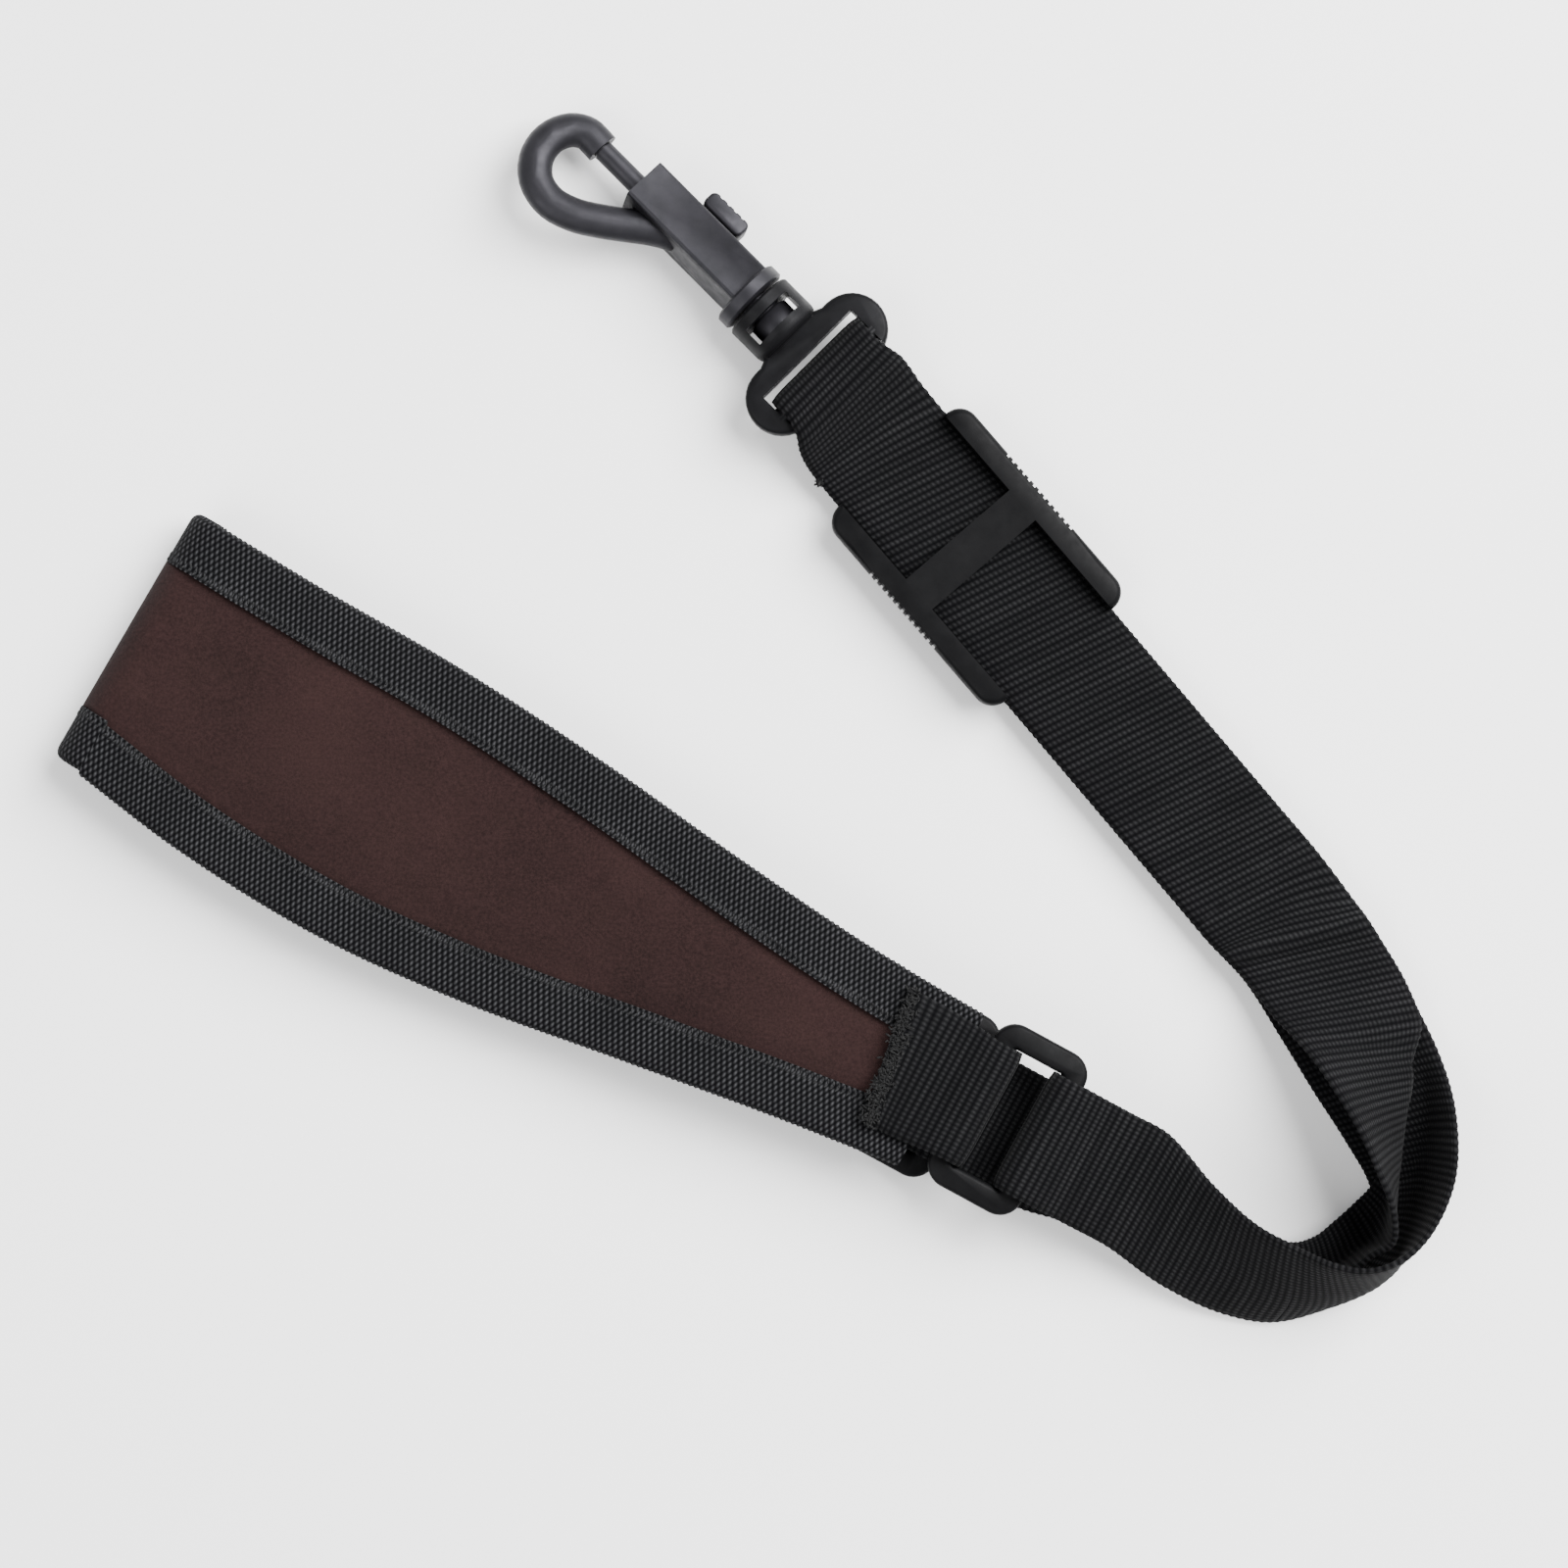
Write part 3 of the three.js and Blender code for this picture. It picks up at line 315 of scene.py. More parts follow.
# Cross-sections round the bend: one edge, the soft fold between or None, and the other edge.
OUTER_BEND = [
    ((66.5, -88.3, 4.5), None, (75.2, -70.4, 15.0)),
    ((77.0, -93.4, 2.2), (80.6, -87.0, 8.0), (82.4, -77.0, 17.0)),
    ((86.6, -95.2, 1.0), (89.3, -90.3, 8.4), (89.6, -80.8, 18.8)),
    ((94.7, -93.0, 0.9), (98.0, -90.8, 8.0), (95.3, -83.3, 20.5)),
    ((100.0, -88.8, 0.9), (104.0, -88.6, 9.0), (100.8, -84.2, 22.0)),
    ((103.2, -84.0, 0.9), (107.6, -85.0, 8.5), (106.0, -82.9, 22.8)),
    ((104.4, -78.0, 0.9), (109.8, -79.0, 3.0), (111.2, -79.0, 21.8)),
    ((103.8, -71.2, 0.9), (112.2, -69.4, 1.6), (116.4, -69.6, 18.0)),
    ((99.5, -63.3, 0.9), (113.4, -59.2, 1.3), (117.6, -58.2, 11.6)),
    ((93.9, -54.6, 0.9), (111.0, -48.8, 1.1), (115.5, -47.4, 4.6)),
    ((88.3, -45.4, 0.9), None, (110.0, -35.4, 1.5)),
    ((81.6, -35.0, 1.9), None, (102.9, -23.6, 2.3)),
]

INNER_BEND = [
    ((61.2, -61.8, 7.6), (56.7, -69.6, 4.4), (52.0, -78.2, 2.6)),
    ((70.0, -68.4, 9.8), (67.0, -77.0, 5.4), (63.5, -84.4, 1.6)),
    ((80.0, -75.6, 11.6), (78.8, -84.6, 4.0), (76.0, -89.6, 1.2)),
    ((88.4, -80.6, 9.4), (89.2, -87.6, 1.6), (91.5, -89.4, 4.4)),
    ((93.5, -79.9, 6.6), (96.4, -86.0, 1.4), (98.4, -86.2, 12.0)),
    ((97.3, -77.2, 4.6), (101.4, -82.8, 2.4), (102.8, -82.2, 16.0)),
    ((100.6, -74.3, 3.4), (105.4, -79.6, 4.0), (106.0, -79.6, 19.4)),
    ((103.8, -71.0, 3.2), (107.8, -73.6, 4.0), (105.4, -73.4, 21.5)),
    ((106.3, -66.2, 3.2), (108.9, -67.6, 4.0), (102.8, -67.0, 21.8)),
    ((108.0, -60.2, 3.2), (109.8, -61.2, 4.0), (100.0, -60.6, 21.4)),
    ((109.4, -54.4, 3.2), (110.8, -55.2, 4.0), (96.6, -54.6, 19.0)),
    ((111.0, -48.4, 3.9), (110.4, -48.8, 4.9), (92.4, -48.0, 15.0)),
    ((112.4, -42.6, 5.0), None, (89.2, -44.2, 11.4)),
    ((110.2, -35.8, 4.4), None, (86.0, -40.8, 8.2)),
    ((106.4, -29.0, 4.2), None, (82.8, -36.4, 6.2)),
    ((102.0, -22.4, 4.4), None, (79.4, -32.4, 5.0)),
]


def bend_rows(rails):
    rows = []
    for a, c, b in rails:
        middle = c or tuple((x + y) / 2 for x, y in zip(a, b))
        rows.append(rail_row(a, middle, b))
    return rows


def straight_rows(z, reverse):
    """Left selvedge first, from the bend to where the webbing rises to the eye."""
    length = np.dot(eye_bar - STRAIGHT_START, straight_along) - EYE_RUN
    rows = []
    for distance in [2.0, 12.0, *np.linspace(34.0, length - 2.0, 4)]:
        middle = STRAIGHT_START + straight_along * distance + [0, 0, z]
        rows.append(flat_row(middle, -straight_left, WEB_WIDTH))
    return rows[::-1] if reverse else rows


def eye_rows():
    """Under the eye's bar, round it and back over the top, left selvedge first."""
    away = -straight_along
    radius = EYE_BAR_RADIUS + BAR_CLEAR + SOLID_WEB_THICK / 2
    sideways = np.dot(STRAIGHT_START - eye_bar, straight_left)

    def row(distance, z, width):
        blend = float(smooth(2.0, EYE_RUN, distance))
        across = hook_across * (1 - blend) + straight_left * blend
        middle = np.array([eye_bar[0], eye_bar[1], 0.0]) + away * distance + [0, 0, z]
        middle = middle + straight_left * sideways * blend
        return flat_row(middle, -across / np.linalg.norm(across), width)

    narrow = EYE_LOOP_WIDTH
    under = [(11.5, PLY_LOW_Z + 0.1, 25.0), (9.0, 3.3, 24.9), (6.6, 3.9, 24.2), (3.4, 5.1, narrow)]
    over = [(4.4, 10.7, 22.6), (6.6, 9.0, 24.4), (9.0, 6.9, 24.9), (11.5, PLY_HIGH_Z + 0.6, 25.0)]
    rows = [row(*item) for item in under]
    for angle in np.radians(np.linspace(270, 70, 9)):
        rows.append(row(radius * math.cos(angle), eye_bar[2] + radius * math.sin(angle), narrow))
    rows += [row(*item) for item in over]
    return rows


def strap_rows():
    """Cross-sections of the one long strap, from the upper ring's flap to the lower ring's."""
    inner = [row[::-1] for row in bend_rows(INNER_BEND)][::-1]
    parts = {
        "upper_end": ring_end_rows(RING_UPPER, 0.15, -4.65),
        "outer_bend": bend_rows(OUTER_BEND),
        "low_ply": straight_rows(PLY_LOW_Z, False),
        "eye_loop": eye_rows(),
        "high_ply": straight_rows(PLY_HIGH_Z, True),
        "inner_bend": inner,
        "lower_end": ring_end_rows(RING_LOWER, 0.6, -2.3)[::-1],
    }
    rows = []
    starts = {}
    for name, part in parts.items():
        starts[name] = len(rows)
        rows += part
    return np.array(rows), starts


def dense_grid(rows, columns, spacing, per_row=14):
    """The rows joined by smooth curves, with even stations, and the length at each row."""
    ts = np.linspace(0.0, 1.0, (len(rows) - 1) * per_row + 1)
    lines = np.stack([spline(rows[:, j], ts) for j in range(rows.shape[1])], axis=1)
    grid = np.stack([resample(line, columns) for line in lines])
    lengths = arc_lengths(grid)
    count = int(round(lengths[-1] / spacing)) + 1
    targets = np.linspace(0.0, lengths[-1], count)
    flat = grid.reshape(len(grid), -1)
    even = np.stack([np.interp(targets, lengths, flat[:, k]) for k in range(flat.shape[1])], axis=1)
    return even.reshape(count, columns, 3), targets, lengths[::per_row]


def edge_round(q):
    """Share of the full thickness left at q, from -1 to 1 across the webbing."""
    return 1.0 - 0.5 * np.abs(q) ** 10


def webbing_surface(grid, lengths, skew):
    """Ribbed closed-strip rings and weave coordinates over a middle surface."""
    columns = grid.shape[1]
    normals = grid_normals(grid)
    q = np.linspace(-1.0, 1.0, columns)
    across = np.gradient(grid, axis=1)
    across /= np.maximum(np.linalg.norm(across, axis=2, keepdims=True), 1e-9)
    u = q * WEB_WIDTH / 2
    v = lengths[:, None] + u[None, :] * skew[:, None]
    wave = np.cos(2 * np.pi * v / RIB_PITCH)
    rib = RIB_HEIGHT * (wave - 1.0) / 2
    edge = np.abs(q) > 0.999
    middle = grid + across * (np.sign(q) * edge)[None, :, None] * (SELVEDGE_WAVE * wave)[:, :, None]
    half = (WEB_THICK / 2) * edge_round(q)[None, :] + rib
    top = middle + normals * half[:, :, None]
    bottom = middle - normals * half[:, :, None]
    coordinate = np.stack([np.broadcast_to(u, v.shape), v, np.zeros_like(v)], axis=2)
    return closed_rings(top, bottom), closed_rings(coordinate, coordinate)


def strip_piece(name, rings, weave, material):
    vertices = rings.reshape(-1, 3)
    faces = strip_faces(len(rings), rings.shape[1] // 2)
    piece = new_piece(name, vertices, faces, material, weave.reshape(-1, 3))
    fix_normals(piece)
    return piece


def fix_normals(piece):
    work = bmesh.new()
    work.from_mesh(piece.data)
    bmesh.ops.recalc_face_normals(work, faces=work.faces)
    work.to_mesh(piece.data)
    work.free()


# ---------------------------------------------------------------- materials

class Nodes:
    """A short way to write a material's node tree."""

    def __init__(self, name):
        self.material = bpy.data.materials.new(name)
        self.material.use_nodes = True
        self.tree = self.material.node_tree
        self.shader = self.tree.nodes["Principled BSDF"]

    def add(self, kind, **settings):
        node = self.tree.nodes.new(kind)
        for key, value in settings.items():
            setattr(node, key, value)
        return node

    def link(self, source, target):
        self.tree.links.new(source, target)

    def feed(self, socket, value):
        if hasattr(value, "is_output"):
            self.link(value, socket)
        else:
            socket.default_value = value

    def math(self, operation, a, b=0.0, c=0.0, clamp=False):
        node = self.add("ShaderNodeMath", operation=operation, use_clamp=clamp)
        for socket, value in zip(node.inputs, (a, b, c)):
            self.feed(socket, value)
        return node.outputs[0]

    def mix(self, factor, a, b):
        node = self.add("ShaderNodeMix", data_type="RGBA")
        self.feed(node.inputs["Factor"], factor)
        self.feed(node.inputs["A"], a)
        self.feed(node.inputs["B"], b)
        return node.outputs["Result"]

    def noise(self, scale, detail=2.0, vector=None, roughness=0.55):
        node = self.add("ShaderNodeTexNoise")
        node.inputs["Scale"].default_value = scale
        node.inputs["Detail"].default_value = detail
        node.inputs["Roughness"].default_value = roughness
        self.link(vector or self.position(), node.inputs["Vector"])
        return node.outputs["Fac"]

    def position(self):
        """Object position in millimetres."""
        place = self.add("ShaderNodeTexCoord")
        scale = self.add("ShaderNodeVectorMath", operation="SCALE")
        self.link(place.outputs["Object"], scale.inputs[0])
        scale.inputs["Scale"].default_value = 1000.0
        return scale.outputs[0]

    def weave(self):
        attribute = self.add("ShaderNodeAttribute", attribute_name="weave")
        split = self.add("ShaderNodeSeparateXYZ")
        self.link(attribute.outputs["Vector"], split.inputs[0])
        return split.outputs

    def wave(self, coordinate, pitch, shift=0.0):
        """A cosine from 0 to 1 with a crest wherever coordinate is a multiple of pitch."""
        turned = self.math("MULTIPLY_ADD", coordinate, 2 * math.pi / pitch, shift)
        return self.math("MULTIPLY_ADD", self.math("COSINE", turned), 0.5, 0.5)

    def ramp(self, value, low, high):
        node = self.add("ShaderNodeMapRange", clamp=True)
        self.feed(node.inputs["Value"], value)
        node.inputs["From Min"].default_value = low
        node.inputs["From Max"].default_value = high
        return node.outputs[0]

    def bump(self, height, strength, distance_mm):
        node = self.add("ShaderNodeBump")
        node.inputs["Strength"].default_value = strength
        node.inputs["Distance"].default_value = distance_mm * MM
        self.link(height, node.inputs["Height"])
        self.link(node.outputs["Normal"], self.shader.inputs["Normal"])

    def finish(self, color, roughness, **sockets):
        self.feed(self.shader.inputs["Base Color"], color)
        self.feed(self.shader.inputs["Roughness"], roughness)
        for name, value in sockets.items():
            self.shader.inputs[name.replace("_", " ")].default_value = value
        return self.material


def srgb(red, green, blue):
    def linear(c):
        c /= 255.0
        return c / 12.92 if c <= 0.04045 else ((c + 0.055) / 1.055) ** 2.4
    return (linear(red), linear(green), linear(blue), 1.0)


def webbing_material():
    n = Nodes("webbing")
    u, v, _ = n.weave()
    rib = n.wave(v, RIB_PITCH)
    dot = n.wave(u, WEB_DOT_PITCH)
    rib_light = n.math("MULTIPLY_ADD", rib, 0.9, 0.1)
    dot_light = n.math("MULTIPLY_ADD", dot, 0.65, 0.35)
    yarn = n.math("MULTIPLY", rib_light, dot_light)
    fuzz = n.noise(3.2, 4.0)
    patch = n.ramp(n.noise(0.09, 3.0), 0.35, 0.7)
    stretched = n.add("ShaderNodeCombineXYZ")
    n.link(n.math("MULTIPLY", v, 0.42), stretched.inputs[1])
    n.link(n.math("MULTIPLY", u, 0.02), stretched.inputs[0])
    stripe = n.ramp(n.noise(1.0, 2.0, stretched.outputs[0]), 0.38, 0.6)
    light = n.math("MULTIPLY", yarn, n.math("MULTIPLY_ADD", fuzz, 0.9, 0.35))
    light = n.math("MULTIPLY", light, n.math("MULTIPLY_ADD", stripe, 0.35, 0.7))
    light = n.math("MULTIPLY", light, n.math("MULTIPLY_ADD", patch, 0.25, 0.8), clamp=True)
    color = n.mix(light, srgb(2, 2, 3), srgb(36, 36, 37))
    height = n.math("MULTIPLY_ADD", fuzz, 0.25, yarn)
    n.bump(height, 0.7, 0.22)
    return n.finish(color, 0.85, Sheen_Weight=0.02, Sheen_Roughness=0.5, Specular_IOR_Level=0.03)


def tape_material():
    n = Nodes("binding_tape")
    u, v, _ = n.weave()
    staggered = [n.math("MULTIPLY", n.wave(u, DOT_ROWS, shift), n.wave(v, DOT_PITCH, shift))
                 for shift in (0.0, math.pi)]
    dots = n.math("POWER", n.math("MAXIMUM", *staggered), 2.2)
    fuzz = n.noise(3.5, 3.0)
    patch = n.ramp(n.noise(0.12, 2.0), 0.3, 0.7)
    light = n.math("MULTIPLY", dots, n.math("MULTIPLY_ADD", fuzz, 0.9, 0.4))
    light = n.math("MULTIPLY", light, n.math("MULTIPLY_ADD", patch, 0.3, 0.8), clamp=True)
    color = n.mix(light, srgb(3, 3, 4), srgb(58, 58, 60))
    n.bump(n.math("MULTIPLY_ADD", fuzz, 0.2, dots), 0.8, 0.25)
    return n.finish(color, 0.85, Sheen_Weight=0.02, Sheen_Roughness=0.5, Specular_IOR_Level=0.03)


def suede_material():
    n = Nodes("suede")
    broad = n.ramp(n.noise(0.035, 3.0), 0.3, 0.72)
    mottle = n.ramp(n.noise(0.16, 5.0, roughness=0.65), 0.35, 0.65)
    nap = n.noise(1.9, 8.0, roughness=0.8)
    base = n.mix(broad, srgb(12, 7, 7), srgb(31, 20, 19))
    base = n.mix(n.math("MULTIPLY", mottle, 0.5), base, srgb(26, 15, 16))
    shade = n.ramp(nap, 0.36, 0.66)
    color = n.mix(n.math("MULTIPLY", shade, 0.6), base, srgb(47, 32, 31))
    n.bump(n.math("MULTIPLY_ADD", nap, 1.0, mottle), 0.55, 0.18)
    return n.finish(color, 0.93, Sheen_Weight=0.03, Sheen_Roughness=0.6, Specular_IOR_Level=0.02)


def thread_material(name, dark, bright):
    n = Nodes(name)
    grain = n.noise(2.5, 3.0)
    color = n.mix(n.ramp(grain, 0.3, 0.7), dark, bright)
    n.bump(grain, 0.4, 0.1)
    return n.finish(color, 0.8, Sheen_Weight=0.02, Specular_IOR_Level=0.04)


def hard_material(name, dark, bright, roughness, metallic, specular=0.5):
    n = Nodes(name)
    cloud = n.ramp(n.noise(0.22, 4.0), 0.3, 0.72)
    grain = n.noise(4.0, 3.0)
    color = n.mix(n.math("MULTIPLY_ADD", grain, 0.35, n.math("MULTIPLY", cloud, 0.65)), dark, bright)
    rough = n.math("MULTIPLY_ADD", n.ramp(n.noise(0.5, 3.0), 0.3, 0.7), 0.14, roughness)
    n.bump(grain, 0.12, 0.05)
    return n.finish(color, rough, Metallic=metallic, Specular_IOR_Level=specular)


def floor_material():
    n = Nodes("floor")
    cloud = n.noise(0.004, 2.0)
    color = n.mix(cloud, (0.90, 0.90, 0.905, 1.0), (0.93, 0.93, 0.93, 1.0))
    return n.finish(color, 0.9)


MATERIALS = {
    "webbing": webbing_material(),
    "tape": tape_material(),
    "suede": suede_material(),
    "lining": thread_material("lining_cloth", srgb(7, 7, 8), srgb(17, 17, 18)),
    "ladder": thread_material("ladder_thread", srgb(12, 12, 13), srgb(46, 46, 47)),
    "fray": thread_material("frayed_ends", srgb(6, 6, 7), srgb(36, 36, 36)),
    "plastic": hard_material("satin_plastic", srgb(6, 6, 7), srgb(14, 14, 15), 0.4, 0.0, 0.055),
    "hook": hard_material("hook_metal", srgb(29, 29, 32), srgb(41, 40, 44), 0.4, 0.6, 0.2),
    "eye": hard_material("eye_metal", srgb(10, 10, 11), srgb(19, 19, 21), 0.4, 0.3, 0.08),
    "steel": hard_material("spring_wire", srgb(130, 132, 135), srgb(160, 162, 165), 0.25, 0.9),
}


# ---------------------------------------------------------------- the strap

# How the ribs lean round the end of the upper ply: millimetres past it, share of RIB_LEAN.
LEAN_AFTER = np.array([(-14.0, 0.0), (-13.0, -1.3), (-5.0, -1.4), (-1.5, -1.3), (1.0, -0.7),
                       (12.0, 0.0), (22.0, 0.6), (40.0, 0.8), (62.0, 0.6), (82.0, 0.0)])


def rib_lean(lengths, low_start, eye_start, high_start, bend_start):
    """Share of RIB_LEAN along the strap, from the lengths at which its stretches begin.

    Just before the bend, LEAN_AFTER takes over from the upper ply's even lean.
    """
    low_ply = smooth(low_start - 6, low_start + 6, lengths) - smooth(eye_start - 4, eye_start + 12, lengths)
    high_ply = smooth(high_start - 12, high_start + 6, lengths)
    handed_over = smooth(bend_start - 14, bend_start - 13, lengths)
    bend = np.interp(lengths - bend_start, LEAN_AFTER[:, 0], LEAN_AFTER[:, 1], left=0.0, right=0.0)
    return low_ply - RIB_LEAN_UPPER * high_ply + RIB_LEAN_UPPER * handed_over + bend


def make_strap():
    """The long strap as one ribbon, cut where its two ends stop riding on the loops."""
    rows, starts = strap_rows()
    grid, lengths, at_row = dense_grid(rows, STRAP_COLUMNS, RIB_PITCH / 4)
    stretches = [at_row[starts[name]] for name in ("low_ply", "eye_loop", "high_ply", "inner_bend")]
    lean = rib_lean(lengths, *stretches)
    crease = stretches[-1] - CREASE_BEFORE_BEND
    sideways = np.linspace(-WEB_WIDTH / 2, WEB_WIDTH / 2, grid.shape[1])
    past_crease = lengths[:, None] - sideways[None, :] * CREASE_SLANT - crease
    grid[:, :, 2] += CREASE_HEIGHT * np.exp(-(past_crease / CREASE_WIDTH) ** 2)
    rings, weave = webbing_surface(grid, lengths, lean * RIB_LEAN)

    def part(name, first_row, last_row, *nodes):
        first = int(np.searchsorted(lengths, at_row[first_row]))
        last = int(np.searchsorted(lengths, at_row[last_row]))
        cut = slice(first, last + 1)
        piece = strip_piece(name, rings[cut], weave[cut], MATERIALS["webbing"])
        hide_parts(*nodes)
        return piece

    upper_split = starts["outer_bend"] + 2
    lower_split = starts["lower_end"] - 3
    upper = part("webbing_upper_end", 0, upper_split, "strap_upper_end")
    run = part("webbing_long_run", upper_split, lower_split,
               "strap_outer_bend", "strap_low_ply", "strap_eye_loop", "strap_high_ply", "strap_inner_bend")
    lower = part("webbing_lower_end", lower_split, len(rows) - 1, "strap_lower_end")
    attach(run, "strap")
    for piece, ring, body in ((upper, RING_UPPER, "upper_loop"), (lower, RING_LOWER, "lower_loop")):
        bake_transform(piece)


def make_tab(name, node, ring):
    """A short webbing tab from a pad end round the near bar of a loop and back beneath."""
    bar = ring_bar(ring, -1)
    wide = 2 * TAB_HALF_WIDTH
    top = [(-TAB_LENGTH, wide), (-TAB_LENGTH * 0.6, wide), (-TAB_LENGTH * 0.3, 23.6)]

    def row(distance, height, width):
        return flat_row(bar + ring_along * distance + [0, 0, height], ring_side, width)

    rows = [row(d, TAB_TOP, w) for d, w in top]
    rows[0] = rows[0] - ring_along * (SPREAD * TAB_HALF_WIDTH * CUT_SLANT)[:, None]
    rows += bar_rows(bar, ring_along, ring_side, LOOP_RADIUS, 90, -90, RING_WEB_WIDTH, 9)
    rows += [row(d, -TAB_TOP, w) for d, w in reversed(top)]
    grid, lengths, _ = dense_grid(np.array(rows), STRAP_COLUMNS, RIB_PITCH / 4)
    rings, weave = webbing_surface(grid, lengths, np.zeros(len(lengths)))
    piece = strip_piece(name, rings, weave, MATERIALS["webbing"])
    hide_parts(node)
    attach(piece, "strap")


# ---------------------------------------------------------------- the pad

pad_along = heading(PAD_HEADING)
pad_across = -left_of(pad_along)

# Half width and sideways shift of the pad by distance from the fold.
HALF_WIDTH = [(-20, 24.0), (0, 24.7), (28, 26.2), (57, 26.6), (85, 24.4), (113, 20.6),
              (141, 17.2), (166, 15.2), (180, 14.4)]
OFFSET = [(-20, -0.6), (0, 0.4), (28, 2.4), (57, 2.7), (85, 2.0), (113, 0.7),
          (141, -0.9), (166, -2.6), (180, -3.6)]
STACK = 2 * TAPE + 4 * LAYER_GAP + SUEDE + LINING
HALF_STACK = (STACK + FOAM) / 2
FOLD_MIDDLE_Z = PAD_FOLD_HEIGHT / 2
FOLD_RADIUS = PAD_FOLD_HEIGHT / 2 - HALF_STACK


def through(pairs, x):
    """Heights at x of a smooth curve through (x, height) pairs."""
    line = spline(np.array(pairs, float), np.linspace(0, 1, 300))
    return np.interp(x, line[:, 0], line[:, 1])


def pad_stations(spacing):
    """Positions along the pad's middle surface from the lower end, round the fold, to the upper."""
    start = PAD_FOLD_HEIGHT / 2
    lower_u = np.arange(PAD_LOWER_LENGTH, start, -spacing)
    upper_u = np.arange(PAD_UPPER_LENGTH, start, -spacing)[::-1]
    turns = max(8, int(math.pi * FOLD_RADIUS / spacing * 1.6))
    angle = -math.pi / 2 - math.pi * np.arange(turns + 1) / turns
    low_z = FOLD_MIDDLE_Z - FOLD_RADIUS
    high_z = FOLD_MIDDLE_Z + FOLD_RADIUS

    def half(u, length, near_z, far_z):
        rise = smooth(0.5 * length, length - THINNING_END, u)
        thin = smooth(length - THINNING_START, length - THINNING_END, u)
        return near_z + (far_z - near_z) * rise, thin

    lower_z, lower_thin = half(lower_u, PAD_LOWER_LENGTH, low_z, PAD_END_LOWER_Z)
    upper_z, upper_thin = half(upper_u, PAD_UPPER_LENGTH, high_z, PAD_END_UPPER_Z)
    u = np.concatenate([lower_u, start + FOLD_RADIUS * np.cos(angle), upper_u])
    z = np.concatenate([lower_z, FOLD_MIDDLE_Z + FOLD_RADIUS * np.sin(angle), upper_z])
    out_u = np.concatenate([0 * lower_u, np.cos(angle), 0 * upper_u])
    out_z = np.concatenate([-np.ones_like(lower_u), np.sin(angle), np.ones_like(upper_u)])
    thin = np.concatenate([lower_thin, 0 * angle, upper_thin])
    shape = np.concatenate([lower_u * PAD_UPPER_LENGTH / PAD_LOWER_LENGTH, 0 * angle, upper_u])
    return {
        "u": u, "z": z, "out": np.stack([out_u, out_z], axis=1), "thin": thin,
        "half": through(HALF_WIDTH, shape), "offset": through(OFFSET, shape),
        "v": running_length(np.stack([u, z], axis=1)),
    }


def pad_layers(thin):
    """Heights of the pad's layers over its middle surface, by how far its foam is thinned."""
    foam = FOAM + (THIN_FOAM - FOAM) * thin
    half = (foam + STACK) / 2
    suede_top = half - TAPE - LAYER_GAP
    foam_bottom = suede_top - SUEDE - LAYER_GAP - foam
    lining_top = foam_bottom - LAYER_GAP
    return {"tape_out": half, "suede_top": suede_top, "foam_bottom": foam_bottom,
            "lining_top": lining_top, "lining_bottom": lining_top - LINING}


def pad_place(stations, across, out):
    """Points at (station, section point) for sideways and outward distances."""
    u = stations["u"][:, None] + stations["out"][:, :1] * out
    z = stations["z"][:, None] + stations["out"][:, 1:] * out
    flat = PAD_FOLD + u[..., None] * pad_along[:2] + across[..., None] * pad_across[:2]
    return np.concatenate([flat, z[..., None]], axis=2)


def make_suede():
    """Suede and foam as one padded piece, with its edges hidden under the tape."""
    stations = pad_stations(0.8)
    layers = pad_layers(stations["thin"])
    q = np.concatenate([[-1.0, -0.95, -0.905], np.linspace(-0.9, 0.9, 43), [0.905, 0.95, 1.0]])
    width = (stations["half"] - TAPE - INSET)[:, None]
    shown = (stations["half"] - TAPE_WIDTH - SUEDE_GAP)[:, None]
    share = np.abs(q)[None, :] / 0.9     # 1 at the edge of the shown suede, 10/9 at the hidden edge
    reach = np.where(share <= 1.0001, share * shown, shown + (share - 1.0) * 9.0 * (width - shown))
    across = stations["offset"][:, None] + np.sign(q)[None, :] * reach
    inside = smooth(0.0, 0.5, 1.0 - share)
    bend = np.abs(stations["out"][:, :1])
    crown = SUEDE_CROWN * inside * (1.0 - 0.6 * stations["thin"][:, None]) * (1.0 - bend)
    crown = crown + (TAPE + LAYER_GAP) * bend * (share <= 1.0001)
    v = stations["v"][:, None]
    ripple = 0.10 * np.sin(v / 9.0 + 2.0 * q) * inside + 0.07 * np.sin(v / 4.1 - 3.0 * q + 1.0) * inside
    ripple = ripple * (1.0 - bend)
    top = pad_place(stations, across, layers["suede_top"][:, None] + crown + ripple)
    bottom = pad_place(stations, across, np.broadcast_to(layers["foam_bottom"][:, None], across.shape))
    coordinate = np.stack([across, np.broadcast_to(v, across.shape), np.zeros_like(across)], axis=2)
    weave = closed_rings(coordinate, coordinate)
    piece = strip_piece("suede_pad", closed_rings(top, bottom), weave, MATERIALS["suede"])
    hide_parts("pad_suede", "pad_foam")
    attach(piece, "strap")


def make_lining():
    """The cloth on the pad's inner side."""
    stations = pad_stations(3.0)
    layers = pad_layers(stations["thin"])
    q = np.linspace(-1.0, 1.0, 12)
    width = stations["half"] - TAPE - INSET
    across = stations["offset"][:, None] + q[None, :] * width[:, None]
    top = pad_place(stations, across, np.broadcast_to(layers["lining_top"][:, None], across.shape))
    bottom = pad_place(stations, across, np.broadcast_to(layers["lining_bottom"][:, None], across.shape))
    rings = closed_rings(top, bottom)
    piece = strip_piece("lining_cloth", rings, np.zeros_like(rings), MATERIALS["lining"])
    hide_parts("pad_lining")
    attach(piece, "strap")


